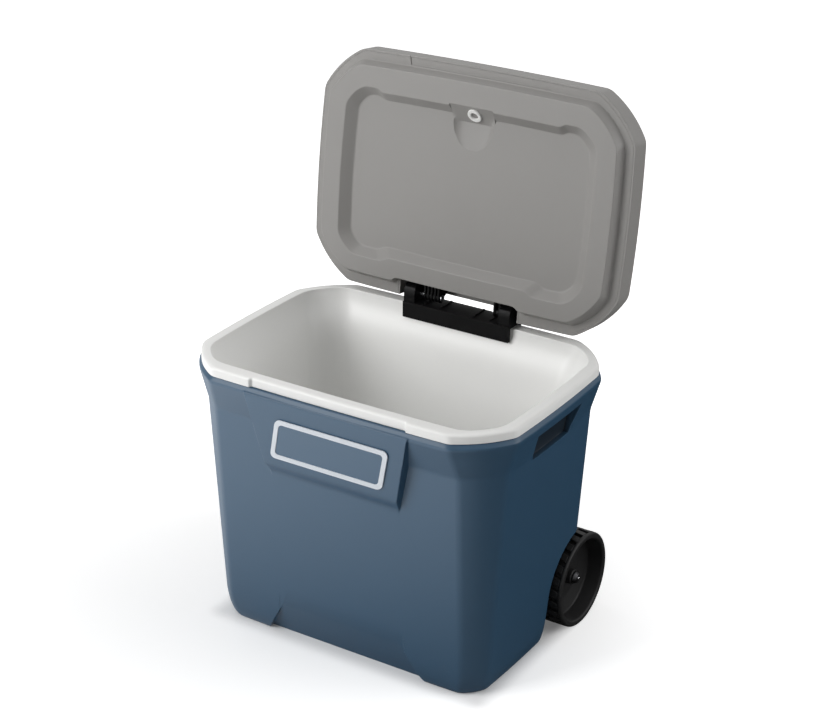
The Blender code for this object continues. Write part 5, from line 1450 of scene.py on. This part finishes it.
class COOLER_OT_tub(Operator):
    """Make the tub's blue shell, its white liner and the blank badge"""
    bl_idname = "cooler.tub"
    bl_label = "Tub"

    def execute(self, context):
        make_shell()
        make_liner()
        make_badge()
        return {"FINISHED"}


class COOLER_OT_lid(Operator):
    """Make the lid's shell, its pan and the ring plug"""
    bl_idname = "cooler.lid"
    bl_label = "Lid"

    def execute(self, context):
        make_lid_shell()
        make_lid_pan()
        make_plug()
        return {"FINISHED"}


class COOLER_OT_hinge(Operator):
    """Make the hinge's saddle, leaves and pins"""
    bl_idname = "cooler.hinge"
    bl_label = "Hinge"

    def execute(self, context):
        make_bracket()
        make_leaves()
        return {"FINISHED"}


class COOLER_OT_wheels(Operator):
    """Make both wheels, the axle and what holds them"""
    bl_idname = "cooler.wheels"
    bl_label = "Wheels"

    def execute(self, context):
        make_wheels()
        return {"FINISHED"}


class COOLER_OT_handle(Operator):
    """Make the tow handle's tubes, collars and grip, and finish its brackets and screws"""
    bl_idname = "cooler.handle"
    bl_label = "Tow Handle"

    def execute(self, context):
        make_handle()
        for place in ("upper", "lower"):
            soften(f"handle_bracket_{place}", "Hinge black", 0.0012)
            for word in ("left", "right"):
                soften(f"handle_screw_{place}_{word}", "Bright steel", 0.0004)
        return {"FINISHED"}


class COOLER_OT_drain(Operator):
    """Make the drain's spout, gasket, nut and plug"""
    bl_idname = "cooler.drain"
    bl_label = "Drain"

    def execute(self, context):
        make_drain()
        for node in ("foam_core", "lid_foam"):
            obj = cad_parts[node]
            obj.data.materials.clear()
            obj.data.materials.append(material("Foam cream"))
        return {"FINISHED"}


OPERATORS = (
    COOLER_OT_stage, COOLER_OT_tub, COOLER_OT_lid, COOLER_OT_hinge, COOLER_OT_wheels, COOLER_OT_handle,
    COOLER_OT_drain,
)


class COOLER_PT_panel(Panel):
    """Lists the cooler's sizes, colours and pieces"""
    bl_label = "Cooler"
    bl_space_type = "VIEW_3D"
    bl_region_type = "UI"
    bl_category = "Cooler"

    def draw(self, context):
        for name in SETTINGS:
            box = self.layout.box()
            group = getattr(context.scene, name)
            for key in group.__annotations__:
                box.prop(group, key)
        for operator in OPERATORS:
            self.layout.operator(operator.bl_idname)


SETTINGS = {
    "cooler_tub": CoolerTubSizes,
    "cooler_lid": CoolerLidSizes,
    "cooler_wheels": CoolerWheelSizes,
    "cooler_colours": CoolerColours,
    "cooler_studio": CoolerStudio,
}
CLASSES = (*SETTINGS.values(), *OPERATORS, COOLER_PT_panel)


def register():
    for cls in CLASSES:
        bpy.utils.register_class(cls)
    for name, cls in SETTINGS.items():
        setattr(bpy.types.Scene, name, PointerProperty(type=cls))


def unregister():
    for name in SETTINGS:
        delattr(bpy.types.Scene, name)
    for cls in reversed(CLASSES):
        bpy.utils.unregister_class(cls)


def main():
    register()
    bpy.ops.cooler.stage()
    bpy.ops.cooler.tub()
    bpy.ops.cooler.lid()
    bpy.ops.cooler.hinge()
    bpy.ops.cooler.wheels()
    bpy.ops.cooler.handle()
    bpy.ops.cooler.drain()


if __name__ == "__main__":
    main()
